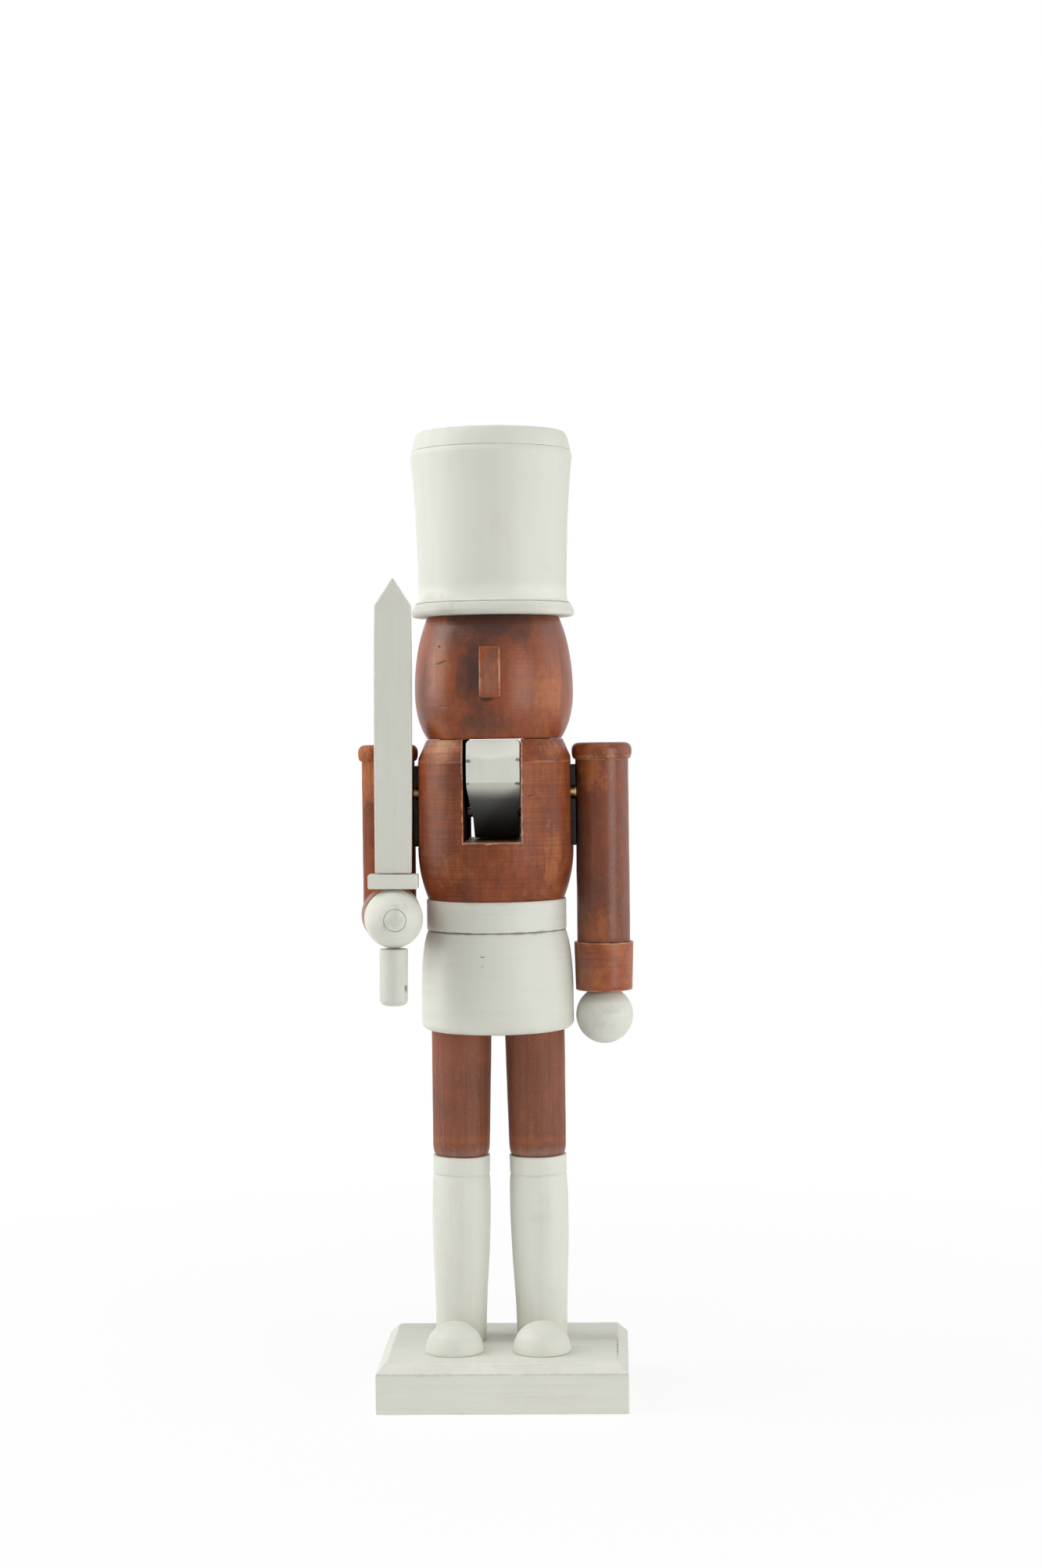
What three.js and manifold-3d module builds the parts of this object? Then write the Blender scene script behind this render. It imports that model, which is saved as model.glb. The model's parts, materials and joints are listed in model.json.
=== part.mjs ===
// A working wooden nutcracker soldier, fifteen inches tall, in millimetres with +Z up.
// The origin is on the base's underside, in front of the soldier's axis. The soldier faces -Y,
// and left and right are the viewer's, as seen from the front.
import * as THREE from "three";
import { mergeVertices } from "three/addons/utils/BufferGeometryUtils.js";
import Module from "manifold-3d";

const wasm = await Module();
wasm.setup();

// Gaps: glued dowels, curved or turned faces that meet, and what turns on a pin
const GLUE_GAP = 0.15;
const SEAT_GAP = 0.3;
const RUNNING_GAP = 0.25;

// Facets round a turned piece, and steps along each curve of an outline
const WIDE_FACETS = 36;
const LIMB_FACETS = 24;
const PIN_FACETS = 12;
const CURVE_STEPS = 4;
const MERGE_DISTANCE = 1e-4;
const ALONG_X = new THREE.Vector3(1, 0, 0);
const ALONG_Y = new THREE.Vector3(0, 1, 0);
const ALONG_Z = new THREE.Vector3(0, 0, 1);

// How far a cut runs past the face it opens
const SPARE = 1;

// Base block with a chamfer round its top, and the soldier's place on it
const BASE_WIDTH = 98;
const BASE_DEPTH = 74;
const BASE_HEIGHT = 19.6;
const BASE_ASIDE = 1.6;
const BASE_CHAMFER = 4.2;
const SOLDIER_SETBACK = 5;

// Countersunk screws that hold the boots down from below
const SCREW_R = 2;
const SCREW_HEAD_R = 4;
const SCREW_HEAD_DEPTH = 2.6;
const SCREW_RECESS = 1.2;
const SCREW_BITE = 22;
const SCREW_POINT = 4;

// Boots: slim at the sole, full at the calf, with a groove under a plain band
const BOOT_SOLE_R = 10.1;
const BOOT_CALF_R = 11.5;
const BOOT_CALF_HEIGHT = 54.5;
const BOOT_GROOVE_R = 10.8;
const BOOT_BAND_R = 11.2;
const BOOT_BAND_HEIGHT = 7.4;
const BOOT_HEIGHT = 74.2;
const BAND_ROUND = 0.8;

// Toes: half balls set against the boots
const TOE_R = 11.5;
const TOE_REACH = 20.3;
const LEFT_TOE_TURN = THREE.MathUtils.degToRad(-4.3);
const RIGHT_TOE_TURN = THREE.MathUtils.degToRad(0.7);

// Upper legs, splayed a little, with a turned tenon at each end
const LEG_R = 11.6;
const LEG_FOOT_R = 11;
const LEG_ROUND = 4;
const LEG_ROUND_R = 10.2;
const LEG_LENGTH = 50.2;
const LEG_TENON_R = 5;
const LEG_TENON_LENGTH = 12;
const FOOT_SPACING = 32.6;
const HIP_SPACING = 29.3;

// Coat skirt and belt
const SKIRT_R = 30.4;
const SKIRT_TOP_R = 27.4;
const SKIRT_HEIGHT = 39.6;
const SKIRT_STRAIGHT = 12;
const SKIRT_CURVE_HEIGHT = 33;
const SKIRT_EDGE_ROUND = 3;
const BELT_R = 27.9;
const BELT_HEIGHT = 12.1;
const BELT_ROUND = 0.8;
const WAIST_DOWEL_R = 6;
const WAIST_DOWEL_BITE = 14;

// Torso: a barrel with sloped shoulders and a slot for the jaw lever
const TORSO_R = 31.1;
const TORSO_BOTTOM_R = 27.2;
const TORSO_TOP_R = 27.2;
const TORSO_HEIGHT = 63.5;
const TORSO_WAIST_HEIGHT = 20;
const TORSO_WAIST_CURVE = 10;
const SHOULDER_SLOPE_HEIGHT = 8.8;
const SLOT_WIDTH = 22.2;
const SLOT_DEPTH = 40.2;
const NECK_DOWEL_R = 3;
const NECK_DOWEL_BITE = 10;

// Jaw lever: the white chin in front, the pin through the cheeks, the handle down the back
const JAW_SIDE_GAP = 0.7;
const JAW_TOP_GAP = 0.5;
const JAW_SETBACK = 0.9;
const JAW_SLOPE_HEIGHT = 7.5;
const JAW_SLOPE_SETBACK = 3.1;
const JAW_FACE_HEIGHT = 9.2;
const JAW_TOP_DEPTH = 13;
const JAW_EDGE_BEVEL = 0.8;
const JAW_PIN_R = 2;
const JAW_PIN_SETBACK = 5;
const JAW_PIN_ABOVE_SLOT = 11;
const JAW_BOSS_R = 10.4;
const LEVER_WIDTH = 17.8;
const LEVER_RISE = 15;
const LEVER_MOUTH_RISE = 16;
const LEVER_NECK_RISE = 12;
const LEVER_UNDERCUT = 9;
const HANDLE_GAP = 3.4;
const HANDLE_THICKNESS = 11;
const HANDLE_SLIMMING = 2;
const HANDLE_BELOW_SKIRT = 8;
const HANDLE_BEND = 9;

// Head and nose
const HEAD_BOTTOM_R = 26.7;
const HEAD_R = 31.6;
const HEAD_TOP_R = 26.3;
const HEAD_HEIGHT = 48.4;
const HEAD_WIDEST_HEIGHT = 18.7;
const HEAD_CHIN_CURVE = 7.5;
const HEAD_BROW_CURVE = 36;
const NOSE_WIDTH = 8.2;
const NOSE_HEIGHT = 20;
const NOSE_BASE_HEIGHT = 16;
const NOSE_TIP_PROUD = 6.5;
const NOSE_BRIDGE_PROUD = 3.2;
const NOSE_BEVEL = 0.8;

// Hat: a sloped brim, a crown that curves outward to its top, and a sloped top disc
const BRIM_R = 32.6;
const BRIM_THICKNESS = 5.2;
const BRIM_ROUND = 2;
const CROWN_BOTTOM_R = 29.55;
const CROWN_FLARE = 1.5;
const CROWN_FLARE_HEIGHT = 4.5;
const CROWN_CURVE_R = 29.9;
const CROWN_CURVE_HEIGHT = 38;
const CROWN_R = 32.3;
const CROWN_TOP_R = 31.7;
const CROWN_ROUND = 2;
const CROWN_HEIGHT = 60.4;
const HAT_TOP_R = 29.3;
const HAT_TOP_THICKNESS = 7.2;
const HAT_TOP_BULGE = 1.5;
const HAT_DOWEL_R = 5;
const HAT_DOWEL_BITE = 14;

// Arms: a plain round limb under a bead, hung on a brass pin beside a black pad
const ARM_R = 10.6;
const ARM_BEAD_R = 12;
const ARM_BEAD_HEIGHT = 6.6;
const ARM_SIDE_GAP = 0.5;
const ARM_ABOVE_PIN = 19.5;
const ARM_BELOW_PIN = 60;
const SHOULDER_DROP = 21.4;
const SHOULDER_PIN_R = 2.5;
const SHOULDER_PIN_BITE = 12;
const PAD_WIDTH = 14;
const PAD_ABOVE_PIN = 10.9;
const PAD_BELOW_PIN = 21.3;
const PAD_CORNER = 3;

// Cuffs, ball hands and the dowels through them
const CUFF_R = 11.85;
const CUFF_END_R = 11.3;
const CUFF_LENGTH = 19.3;
const SWORD_CUFF_LENGTH = 12.9;
const CUFF_ROUND = 0.8;
const WRIST_SPIGOT_R = 7.5;
const WRIST_DOWEL_R = 4.65;
const WRIST_DOWEL_BITE = 12;
const HAND_R = 11.4;
const HAND_FLAT = 1.6;

// Sword arm: mitred at the elbow, the forearm level and turned in a little
const ELBOW_DROP = 47.8;
const FOREARM_TURN = THREE.MathUtils.degToRad(7.1);
const ELBOW_DOWEL_R = 4;
const ELBOW_DOWEL_BITE = 11;

// Sword, leaning a little toward the head
const SWORD_LEAN = THREE.MathUtils.degToRad(0.6);
const BLADE_WIDTH = 14;
const BLADE_SWELL = 0.3;
const BLADE_SWELL_HEIGHT = 78.5;
const BLADE_THICKNESS = 5;
const BLADE_LENGTH = 103.7;
const BLADE_POINT = 10.8;
const BLADE_BEVEL = 0.7;
const GUARD_WIDTH = 19.2;
const GUARD_DEPTH = 10;
const GUARD_HEIGHT = 5.6;
const GUARD_BEVEL = 0.7;
const GRIP_R = 5.5;
const GRIP_LENGTH = 22;
const GRIP_ROUND = 2.5;
const TANG_R = 2.2;
const TANG_BITE = 4;

// Finishes
const WHITE_PAINT = { color: 0xd6d6cc, roughness: 0.55, metalness: 0 };
const RED_BROWN_STAIN = { color: 0x7d4a3a, roughness: 0.45, metalness: 0 };
const BARE_WOOD = { color: 0xc9a775, roughness: 0.7, metalness: 0 };
const BLACK_FELT = { color: 0x1b1a19, roughness: 0.95, metalness: 0 };
const BRASS = { color: 0xb0833f, roughness: 0.35, metalness: 1 };
const STEEL = { color: 0x9a9b9d, roughness: 0.4, metalness: 1 };

// Places that follow from the sizes above, in the soldier's own frame with Z from the floor
const legAxis = BOOT_HEIGHT + SEAT_GAP + LEG_LENGTH;
const splay = Math.asin((FOOT_SPACING - HIP_SPACING) / 2 / legAxis);
const footZ = BASE_HEIGHT + SEAT_GAP / 2 + BOOT_SOLE_R * Math.sin(splay);
const skirtZ = footZ + legAxis * Math.cos(splay) + SEAT_GAP / 2 + LEG_R * Math.sin(splay);
const beltZ = skirtZ + SKIRT_HEIGHT + GLUE_GAP;
const torsoZ = beltZ + BELT_HEIGHT + GLUE_GAP;
const headZ = torsoZ + TORSO_HEIGHT + GLUE_GAP;
const brimZ = headZ + HEAD_HEIGHT + GLUE_GAP;
const crownZ = brimZ + BRIM_THICKNESS + GLUE_GAP;
const hatTopZ = crownZ + CROWN_HEIGHT + GLUE_GAP;
const slotFloor = TORSO_HEIGHT - SLOT_DEPTH;
const jawPinZ = torsoZ + slotFloor + JAW_PIN_ABOVE_SLOT;
const shoulderZ = headZ - SHOULDER_DROP;
const padFlatX = Math.sqrt(TORSO_R ** 2 - (PAD_WIDTH / 2 + SEAT_GAP) ** 2);
const armX = Math.max(padFlatX + ARM_BEAD_R, SKIRT_R + Math.max(CUFF_R, HAND_R)) + ARM_SIDE_GAP;
const armInnerX = armX - ARM_R;
const padThickness = armInnerX - padFlatX - 2 * SEAT_GAP;
const neckX = (SLOT_WIDTH / 2 + TORSO_TOP_R) / 2;
const wristBoreR = WRIST_DOWEL_R + GLUE_GAP;
const handFlat = HAND_R - HAND_FLAT;
const wristDowelEnd = (HAND_R + Math.sqrt(HAND_R ** 2 - wristBoreR ** 2)) / 2;

// Cutting and joining of closed shapes

function solidOf(geometry) {
  const bare = geometry.index ? geometry.toNonIndexed() : geometry.clone();
  bare.deleteAttribute("normal");
  bare.deleteAttribute("uv");
  const merged = mergeVertices(bare, MERGE_DISTANCE);
  const vertProperties = merged.attributes.position.array;
  const triVerts = new Uint32Array(merged.index.array);
  return new wasm.Manifold(new wasm.Mesh({ numProp: 3, vertProperties, triVerts }));
}

function geometryOf(solid) {
  const { vertProperties, triVerts } = solid.getMesh();
  const geometry = new THREE.BufferGeometry();
  geometry.setAttribute("position", new THREE.BufferAttribute(vertProperties, 3));
  geometry.setIndex(new THREE.BufferAttribute(triVerts, 1));
  const faceted = geometry.toNonIndexed();
  faceted.computeVertexNormals();
  return faceted;
}

function cut(geometry, ...tools) {
  const rest = tools.reduce((solid, tool) => solid.subtract(solidOf(tool)), solidOf(geometry));
  return geometryOf(rest);
}

function join(...geometries) {
  return geometryOf(geometries.map(solidOf).reduce((whole, part) => whole.add(part)));
}

// Shapes that repeat

function turned(outline, facets) {
  return new THREE.LatheGeometry(outline.getPoints(CURVE_STEPS), facets).rotateX(Math.PI / 2);
}

// A round rod that rises along Z from one height to another
function rod(radius, from, to, facets = PIN_FACETS) {
  const length = to - from;
  const upright = new THREE.CylinderGeometry(radius, radius, length, facets);
  return upright.rotateX(Math.PI / 2).translate(0, 0, from + length / 2);
}

// A round rod that runs along X from one place to another
function crossRod(radius, from, to) {
  return rod(radius, from, to).rotateY(Math.PI / 2);
}

// A side outline in the Y-Z plane, given its thickness along X, with both rims bevelled
function board(outline, thickness, bevel) {
  const depth = thickness - 2 * bevel;
  const rims = { bevelThickness: bevel, bevelSize: bevel, bevelOffset: -bevel, bevelSegments: 1 };
  const settings = { depth, curveSegments: CURVE_STEPS, bevelEnabled: bevel > 0, ...rims };
  const upright = new THREE.Matrix4().makeBasis(ALONG_Y, ALONG_Z, ALONG_X);
  return new THREE.ExtrudeGeometry(outline, settings).translate(0, 0, -depth / 2).applyMatrix4(upright);
}

function piece(name, geometry, finish, place = [0, 0, 0]) {
  const mesh = new THREE.Mesh(geometry, new THREE.MeshStandardMaterial(finish));
  mesh.name = name;
  mesh.position.set(...place);
  return mesh;
}

function sideName(side) {
  return side < 0 ? "left" : "right";
}

// Base and its screws

function baseBlock() {
  const inset = new THREE.Shape();
  const halfWidth = BASE_WIDTH / 2 - BASE_CHAMFER;
  const halfDepth = BASE_DEPTH / 2 - BASE_CHAMFER;
  inset.moveTo(-halfWidth, -halfDepth);
  inset.lineTo(halfWidth, -halfDepth);
  inset.lineTo(halfWidth, halfDepth);
  inset.lineTo(-halfWidth, halfDepth);
  const rims = { bevelThickness: BASE_CHAMFER, bevelSize: BASE_CHAMFER, bevelSegments: 1 };
  const block = new THREE.ExtrudeGeometry(inset, { depth: BASE_HEIGHT - BASE_CHAMFER, ...rims });
  const underside = new THREE.BoxGeometry(2 * BASE_WIDTH, 2 * BASE_DEPTH, 2 * BASE_CHAMFER);
  underside.translate(0, 0, -BASE_CHAMFER);
  const holes = [-1, 1].map((side) => screwHole().translate(side * FOOT_SPACING / 2, SOLDIER_SETBACK, 0));
  return cut(cut(block, underside).translate(BASE_ASIDE, 0, 0), ...holes);
}

function screwHole() {
  const outline = new THREE.Path();
  outline.moveTo(0, -SPARE);
  outline.lineTo(SCREW_HEAD_R + SEAT_GAP, -SPARE);
  outline.lineTo(SCREW_HEAD_R + SEAT_GAP, SCREW_RECESS);
  outline.lineTo(SCREW_R + SEAT_GAP, SCREW_RECESS + SCREW_HEAD_DEPTH);
  outline.lineTo(SCREW_R + SEAT_GAP, BASE_HEIGHT + SPARE);
  outline.lineTo(0, BASE_HEIGHT + SPARE);
  return turned(outline, PIN_FACETS);
}

function screwShape() {
  const tip = BASE_HEIGHT + SCREW_BITE;
  const outline = new THREE.Path();
  outline.moveTo(0, SCREW_RECESS);
  outline.lineTo(SCREW_HEAD_R, SCREW_RECESS);
  outline.lineTo(SCREW_R, SCREW_RECESS + SCREW_HEAD_DEPTH);
  outline.lineTo(SCREW_R, tip - SCREW_POINT);
  outline.lineTo(0, tip);
  return turned(outline, PIN_FACETS);
}

// Legs, each with its boot, in a group that splays outward from hip to foot

function legGroup(side) {
  const group = new THREE.Group();
  group.position.set(side * FOOT_SPACING / 2, 0, footZ);
  group.rotation.y = -side * splay;
  group.updateMatrix();
  return group;
}

function bootOutline(swell) {
  const bandFoot = BOOT_HEIGHT - BOOT_BAND_HEIGHT;
  const calfMiddle = BOOT_CALF_HEIGHT / 2;
  const outline = new THREE.Path();
  outline.moveTo(0, 0);
  outline.lineTo(BOOT_SOLE_R + swell, 0);
  const calf = BOOT_CALF_R + swell;
  outline.bezierCurveTo(BOOT_SOLE_R + swell, calfMiddle, calf, calfMiddle, calf, BOOT_CALF_HEIGHT);
  outline.quadraticCurveTo(calf, bandFoot - BAND_ROUND, BOOT_GROOVE_R + swell, bandFoot);
  outline.lineTo(BOOT_BAND_R + swell, bandFoot + BAND_ROUND);
  outline.lineTo(BOOT_BAND_R + swell, BOOT_HEIGHT - BAND_ROUND);
  outline.lineTo(BOOT_BAND_R + swell - BAND_ROUND, BOOT_HEIGHT);
  outline.lineTo(0, BOOT_HEIGHT);
  return outline;
}

function bootShape(side) {
  const socketFloor = BOOT_HEIGHT - LEG_TENON_LENGTH;
  const socket = rod(LEG_TENON_R + GLUE_GAP, socketFloor, BOOT_HEIGHT + SPARE, LIMB_FACETS);
  const screwBite = rod(SCREW_R + GLUE_GAP, 0, BASE_HEIGHT + SCREW_BITE + SEAT_GAP);
  screwBite.translate(side * FOOT_SPACING / 2, 0, 0).applyMatrix4(legGroup(side).matrix.clone().invert());
  return cut(turned(bootOutline(0), LIMB_FACETS), socket, screwBite);
}

function legShape() {
  const outline = new THREE.Path();
  outline.moveTo(0, SEAT_GAP - LEG_TENON_LENGTH);
  outline.lineTo(LEG_TENON_R, SEAT_GAP - LEG_TENON_LENGTH);
  outline.lineTo(LEG_TENON_R, 0);
  outline.lineTo(LEG_ROUND_R, 0);
  outline.quadraticCurveTo(LEG_FOOT_R, 0, LEG_FOOT_R, LEG_ROUND);
  outline.lineTo(LEG_R, LEG_LENGTH);
  outline.lineTo(LEG_TENON_R, LEG_LENGTH);
  outline.lineTo(LEG_TENON_R, LEG_LENGTH + LEG_TENON_LENGTH - SEAT_GAP);
  outline.lineTo(0, LEG_LENGTH + LEG_TENON_LENGTH - SEAT_GAP);
  return turned(outline, LIMB_FACETS);
}

function legSocket(side) {
  const socketRoof = legAxis + LEG_TENON_LENGTH;
  const socket = rod(LEG_TENON_R + GLUE_GAP, legAxis - SPARE, socketRoof, LIMB_FACETS);
  return socket.applyMatrix4(legGroup(side).matrix).translate(0, 0, -skirtZ);
}

// A half ball on the base, hollowed where the boot stands against it
function toeShape(side) {
  const outline = new THREE.Path();
  outline.moveTo(0, 0);
  outline.lineTo(TOE_R, 0);
  outline.absarc(0, 0, TOE_R, 0, Math.PI / 2);
  const ball = turned(outline, LIMB_FACETS).translate(0, -TOE_REACH, 0);
  ball.rotateZ(side < 0 ? LEFT_TOE_TURN : RIGHT_TOE_TURN);
  ball.translate(side * FOOT_SPACING / 2, 0, BASE_HEIGHT + GLUE_GAP);
  const boot = turned(bootOutline(SEAT_GAP), LIMB_FACETS).translate(0, 0, -SPARE);
  return cut(ball, boot.applyMatrix4(legGroup(side).matrix));
}

function leg(side) {
  const name = sideName(side);
  const group = legGroup(side);
  group.add(piece(name + "_boot", bootShape(side), WHITE_PAINT));
  group.add(piece(name + "_leg", legShape(), RED_BROWN_STAIN, [0, 0, BOOT_HEIGHT + SEAT_GAP]));
  return group;
}

// Trunk: skirt, belt and torso on one dowel

function skirtShape() {
  const outline = new THREE.Path();
  outline.moveTo(0, 0);
  outline.lineTo(SKIRT_R - SKIRT_EDGE_ROUND, 0);
  outline.absarc(SKIRT_R - SKIRT_EDGE_ROUND, SKIRT_EDGE_ROUND, SKIRT_EDGE_ROUND, -Math.PI / 2, 0);
  outline.lineTo(SKIRT_R, SKIRT_STRAIGHT);
  outline.quadraticCurveTo(SKIRT_R, SKIRT_CURVE_HEIGHT, SKIRT_TOP_R, SKIRT_HEIGHT);
  outline.lineTo(0, SKIRT_HEIGHT);
  const dowelHole = rod(WAIST_DOWEL_R + GLUE_GAP, SKIRT_HEIGHT - WAIST_DOWEL_BITE, SKIRT_HEIGHT + SPARE);
  return cut(turned(outline, WIDE_FACETS), dowelHole, legSocket(-1), legSocket(1));
}

function beltShape() {
  const bore = WAIST_DOWEL_R + GLUE_GAP;
  const outline = new THREE.Path();
  outline.moveTo(bore, 0);
  outline.lineTo(BELT_R - BELT_ROUND, 0);
  outline.lineTo(BELT_R, BELT_ROUND);
  outline.lineTo(BELT_R, BELT_HEIGHT - BELT_ROUND);
  outline.lineTo(BELT_R - BELT_ROUND, BELT_HEIGHT);
  outline.lineTo(bore, BELT_HEIGHT);
  outline.closePath();
  return turned(outline, WIDE_FACETS);
}

function waistDowelShape() {
  const bite = WAIST_DOWEL_BITE - SEAT_GAP;
  return rod(WAIST_DOWEL_R, -bite, BELT_HEIGHT + bite);
}

function torsoShape() {
  const outline = new THREE.Path();
  outline.moveTo(0, 0);
  outline.lineTo(TORSO_BOTTOM_R, 0);
  outline.quadraticCurveTo(TORSO_R, TORSO_WAIST_CURVE, TORSO_R, TORSO_WAIST_HEIGHT);
  outline.lineTo(TORSO_R, TORSO_HEIGHT - SHOULDER_SLOPE_HEIGHT);
  outline.lineTo(TORSO_TOP_R, TORSO_HEIGHT);
  outline.lineTo(0, TORSO_HEIGHT);
  const slot = new THREE.BoxGeometry(SLOT_WIDTH, 2 * (TORSO_R + SPARE), SLOT_DEPTH + SPARE);
  slot.translate(0, 0, slotFloor + (SLOT_DEPTH + SPARE) / 2);
  const waistHole = rod(WAIST_DOWEL_R + GLUE_GAP, -SPARE, WAIST_DOWEL_BITE);
  const jawBore = crossRod(JAW_PIN_R + GLUE_GAP, -TORSO_R - SPARE, TORSO_R + SPARE);
  jawBore.translate(0, JAW_PIN_SETBACK, jawPinZ - torsoZ);
  const sideCuts = [-1, 1].flatMap(torsoSideCuts);
  return cut(turned(outline, WIDE_FACETS), slot, waistHole, jawBore, ...sideCuts);
}

// One side of the torso: the flat for the shoulder pad, the shoulder pin's hole and the neck dowel's
function torsoSideCuts(side) {
  const pinHeight = shoulderZ - torsoZ;
  const flatFoot = pinHeight - PAD_BELOW_PIN - SEAT_GAP;
  const flatRise = TORSO_HEIGHT - flatFoot;
  const flat = new THREE.BoxGeometry(TORSO_R, 2 * (TORSO_R + SPARE), flatRise);
  flat.translate(side * (padFlatX + TORSO_R / 2), 0, flatFoot + flatRise / 2);
  const pinHole = crossRod(SHOULDER_PIN_R + GLUE_GAP, padFlatX - SHOULDER_PIN_BITE, padFlatX + SPARE);
  pinHole.rotateZ(side < 0 ? Math.PI : 0).translate(0, 0, pinHeight);
  const dowelHole = rod(NECK_DOWEL_R + GLUE_GAP, TORSO_HEIGHT - NECK_DOWEL_BITE, TORSO_HEIGHT + SPARE);
  dowelHole.translate(side * neckX, 0, 0);
  return [flat, pinHole, dowelHole];
}

function neckDowelShape() {
  const bite = NECK_DOWEL_BITE - SEAT_GAP;
  return rod(NECK_DOWEL_R, -bite, bite);
}

// Jaw lever, drawn from the side about its pin: chin, boss, neck and the handle behind the coat

function leverShape() {
  const front = JAW_SETBACK - TORSO_R - JAW_PIN_SETBACK;
  const top = SLOT_DEPTH - JAW_PIN_ABOVE_SLOT - JAW_TOP_GAP;
  const slopeFoot = top - JAW_SLOPE_HEIGHT;
  const chin = slopeFoot - JAW_FACE_HEIGHT;
  const brow = front + JAW_SLOPE_SETBACK;
  const mouthBack = brow + JAW_TOP_DEPTH;
  const handleFront = Math.max(TORSO_R, SKIRT_R, BELT_R) + HANDLE_GAP - JAW_PIN_SETBACK;
  const handleBack = handleFront + HANDLE_THICKNESS;
  const handleEnd = skirtZ - HANDLE_BELOW_SKIRT - jawPinZ;
  const handleRound = (HANDLE_THICKNESS - HANDLE_SLIMMING) / 2;
  const endBack = handleBack - HANDLE_SLIMMING;
  const neckFoot = -LEVER_UNDERCUT;
  const outline = new THREE.Shape();
  outline.moveTo(front, chin);
  outline.quadraticCurveTo(front / 2, 0, -JAW_BOSS_R * Math.SQRT1_2, -JAW_BOSS_R * Math.SQRT1_2);
  outline.absarc(0, 0, JAW_BOSS_R, -Math.PI * 3 / 4, -Math.PI / 2);
  outline.lineTo(handleFront - HANDLE_BEND, neckFoot);
  outline.quadraticCurveTo(handleFront, neckFoot, handleFront, neckFoot - HANDLE_BEND);
  outline.lineTo(handleFront, handleEnd + handleRound);
  outline.absarc(handleFront + handleRound, handleEnd + handleRound, handleRound, Math.PI, 2 * Math.PI);
  outline.lineTo(endBack, handleEnd + handleRound);
  outline.lineTo(handleBack, neckFoot - HANDLE_BEND);
  outline.quadraticCurveTo(handleBack, LEVER_NECK_RISE, handleFront, LEVER_NECK_RISE);
  outline.lineTo(JAW_BOSS_R, LEVER_RISE);
  outline.quadraticCurveTo(mouthBack / 2, LEVER_MOUTH_RISE, mouthBack, top);
  outline.lineTo(brow, top);
  outline.lineTo(front, slopeFoot);
  outline.closePath();
  const width = SLOT_WIDTH - 2 * JAW_SIDE_GAP;
  const bore = crossRod(JAW_PIN_R + RUNNING_GAP, -width, width);
  const waste = [-1, 1].map((side) => leverWaste(side, width / 2, brow, top, handleBack, handleEnd));
  return cut(board(outline, width, JAW_EDGE_BEVEL), bore, ...waste);
}

// What is sawn off one side of the lever, which narrows from the jaw's width to its own at the boss
function leverWaste(side, jawHalf, front, top, back, foot) {
  const outline = new THREE.Shape();
  outline.moveTo(side * jawHalf, front);
  outline.lineTo(side * LEVER_WIDTH / 2, -JAW_BOSS_R);
  outline.lineTo(side * LEVER_WIDTH / 2, back + SPARE);
  outline.lineTo(side * (jawHalf + SPARE), back + SPARE);
  outline.lineTo(side * (jawHalf + SPARE), front);
  const depth = top - foot + 2 * SPARE;
  return new THREE.ExtrudeGeometry(outline, { depth, bevelEnabled: false }).translate(0, 0, foot - SPARE);
}

function jawPinShape() {
  const reach = padFlatX - SEAT_GAP;
  return crossRod(JAW_PIN_R, -reach, reach);
}

// Head and nose

function headOutline(swell) {
  const outline = new THREE.Path();
  outline.moveTo(0, 0);
  outline.lineTo(HEAD_BOTTOM_R + swell, 0);
  outline.quadraticCurveTo(HEAD_R + swell, HEAD_CHIN_CURVE, HEAD_R + swell, HEAD_WIDEST_HEIGHT);
  outline.quadraticCurveTo(HEAD_R + swell, HEAD_BROW_CURVE, HEAD_TOP_R + swell, HEAD_HEIGHT);
  outline.lineTo(0, HEAD_HEIGHT);
  return outline;
}

function headShape() {
  const neckHoles = [-1, 1].map((side) => {
    return rod(NECK_DOWEL_R + GLUE_GAP, -SPARE, NECK_DOWEL_BITE).translate(side * neckX, 0, 0);
  });
  const hatHole = rod(HAT_DOWEL_R + GLUE_GAP, HEAD_HEIGHT - HAT_DOWEL_BITE, HEAD_HEIGHT + SPARE);
  return cut(turned(headOutline(0), WIDE_FACETS), hatHole, ...neckHoles);
}

// A wedge that stands further out at its tip than at its bridge, its back fitted to the face
function noseShape() {
  const nearTop = NOSE_BASE_HEIGHT + NOSE_HEIGHT;
  const outline = new THREE.Shape();
  outline.moveTo(0, NOSE_BASE_HEIGHT);
  outline.lineTo(0, nearTop);
  outline.lineTo(-HEAD_R - NOSE_BRIDGE_PROUD + NOSE_BEVEL, nearTop);
  outline.lineTo(-HEAD_R - NOSE_BRIDGE_PROUD, nearTop - NOSE_BEVEL);
  outline.lineTo(-HEAD_R - NOSE_TIP_PROUD, NOSE_BASE_HEIGHT + NOSE_BEVEL);
  outline.lineTo(-HEAD_R - NOSE_TIP_PROUD + NOSE_BEVEL, NOSE_BASE_HEIGHT);
  outline.closePath();
  return cut(board(outline, NOSE_WIDTH, NOSE_BEVEL), turned(headOutline(SEAT_GAP), WIDE_FACETS));
}

// Hat

function brimShape() {
  const bore = HAT_DOWEL_R + GLUE_GAP;
  const brimTop = CROWN_BOTTOM_R + CROWN_FLARE;
  const outline = new THREE.Path();
  outline.moveTo(bore, 0);
  outline.lineTo(BRIM_R - BRIM_ROUND, 0);
  outline.quadraticCurveTo(BRIM_R, 0, BRIM_R, BRIM_ROUND);
  outline.lineTo(brimTop, BRIM_THICKNESS);
  outline.lineTo(bore, BRIM_THICKNESS);
  outline.closePath();
  return turned(outline, WIDE_FACETS);
}

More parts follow.
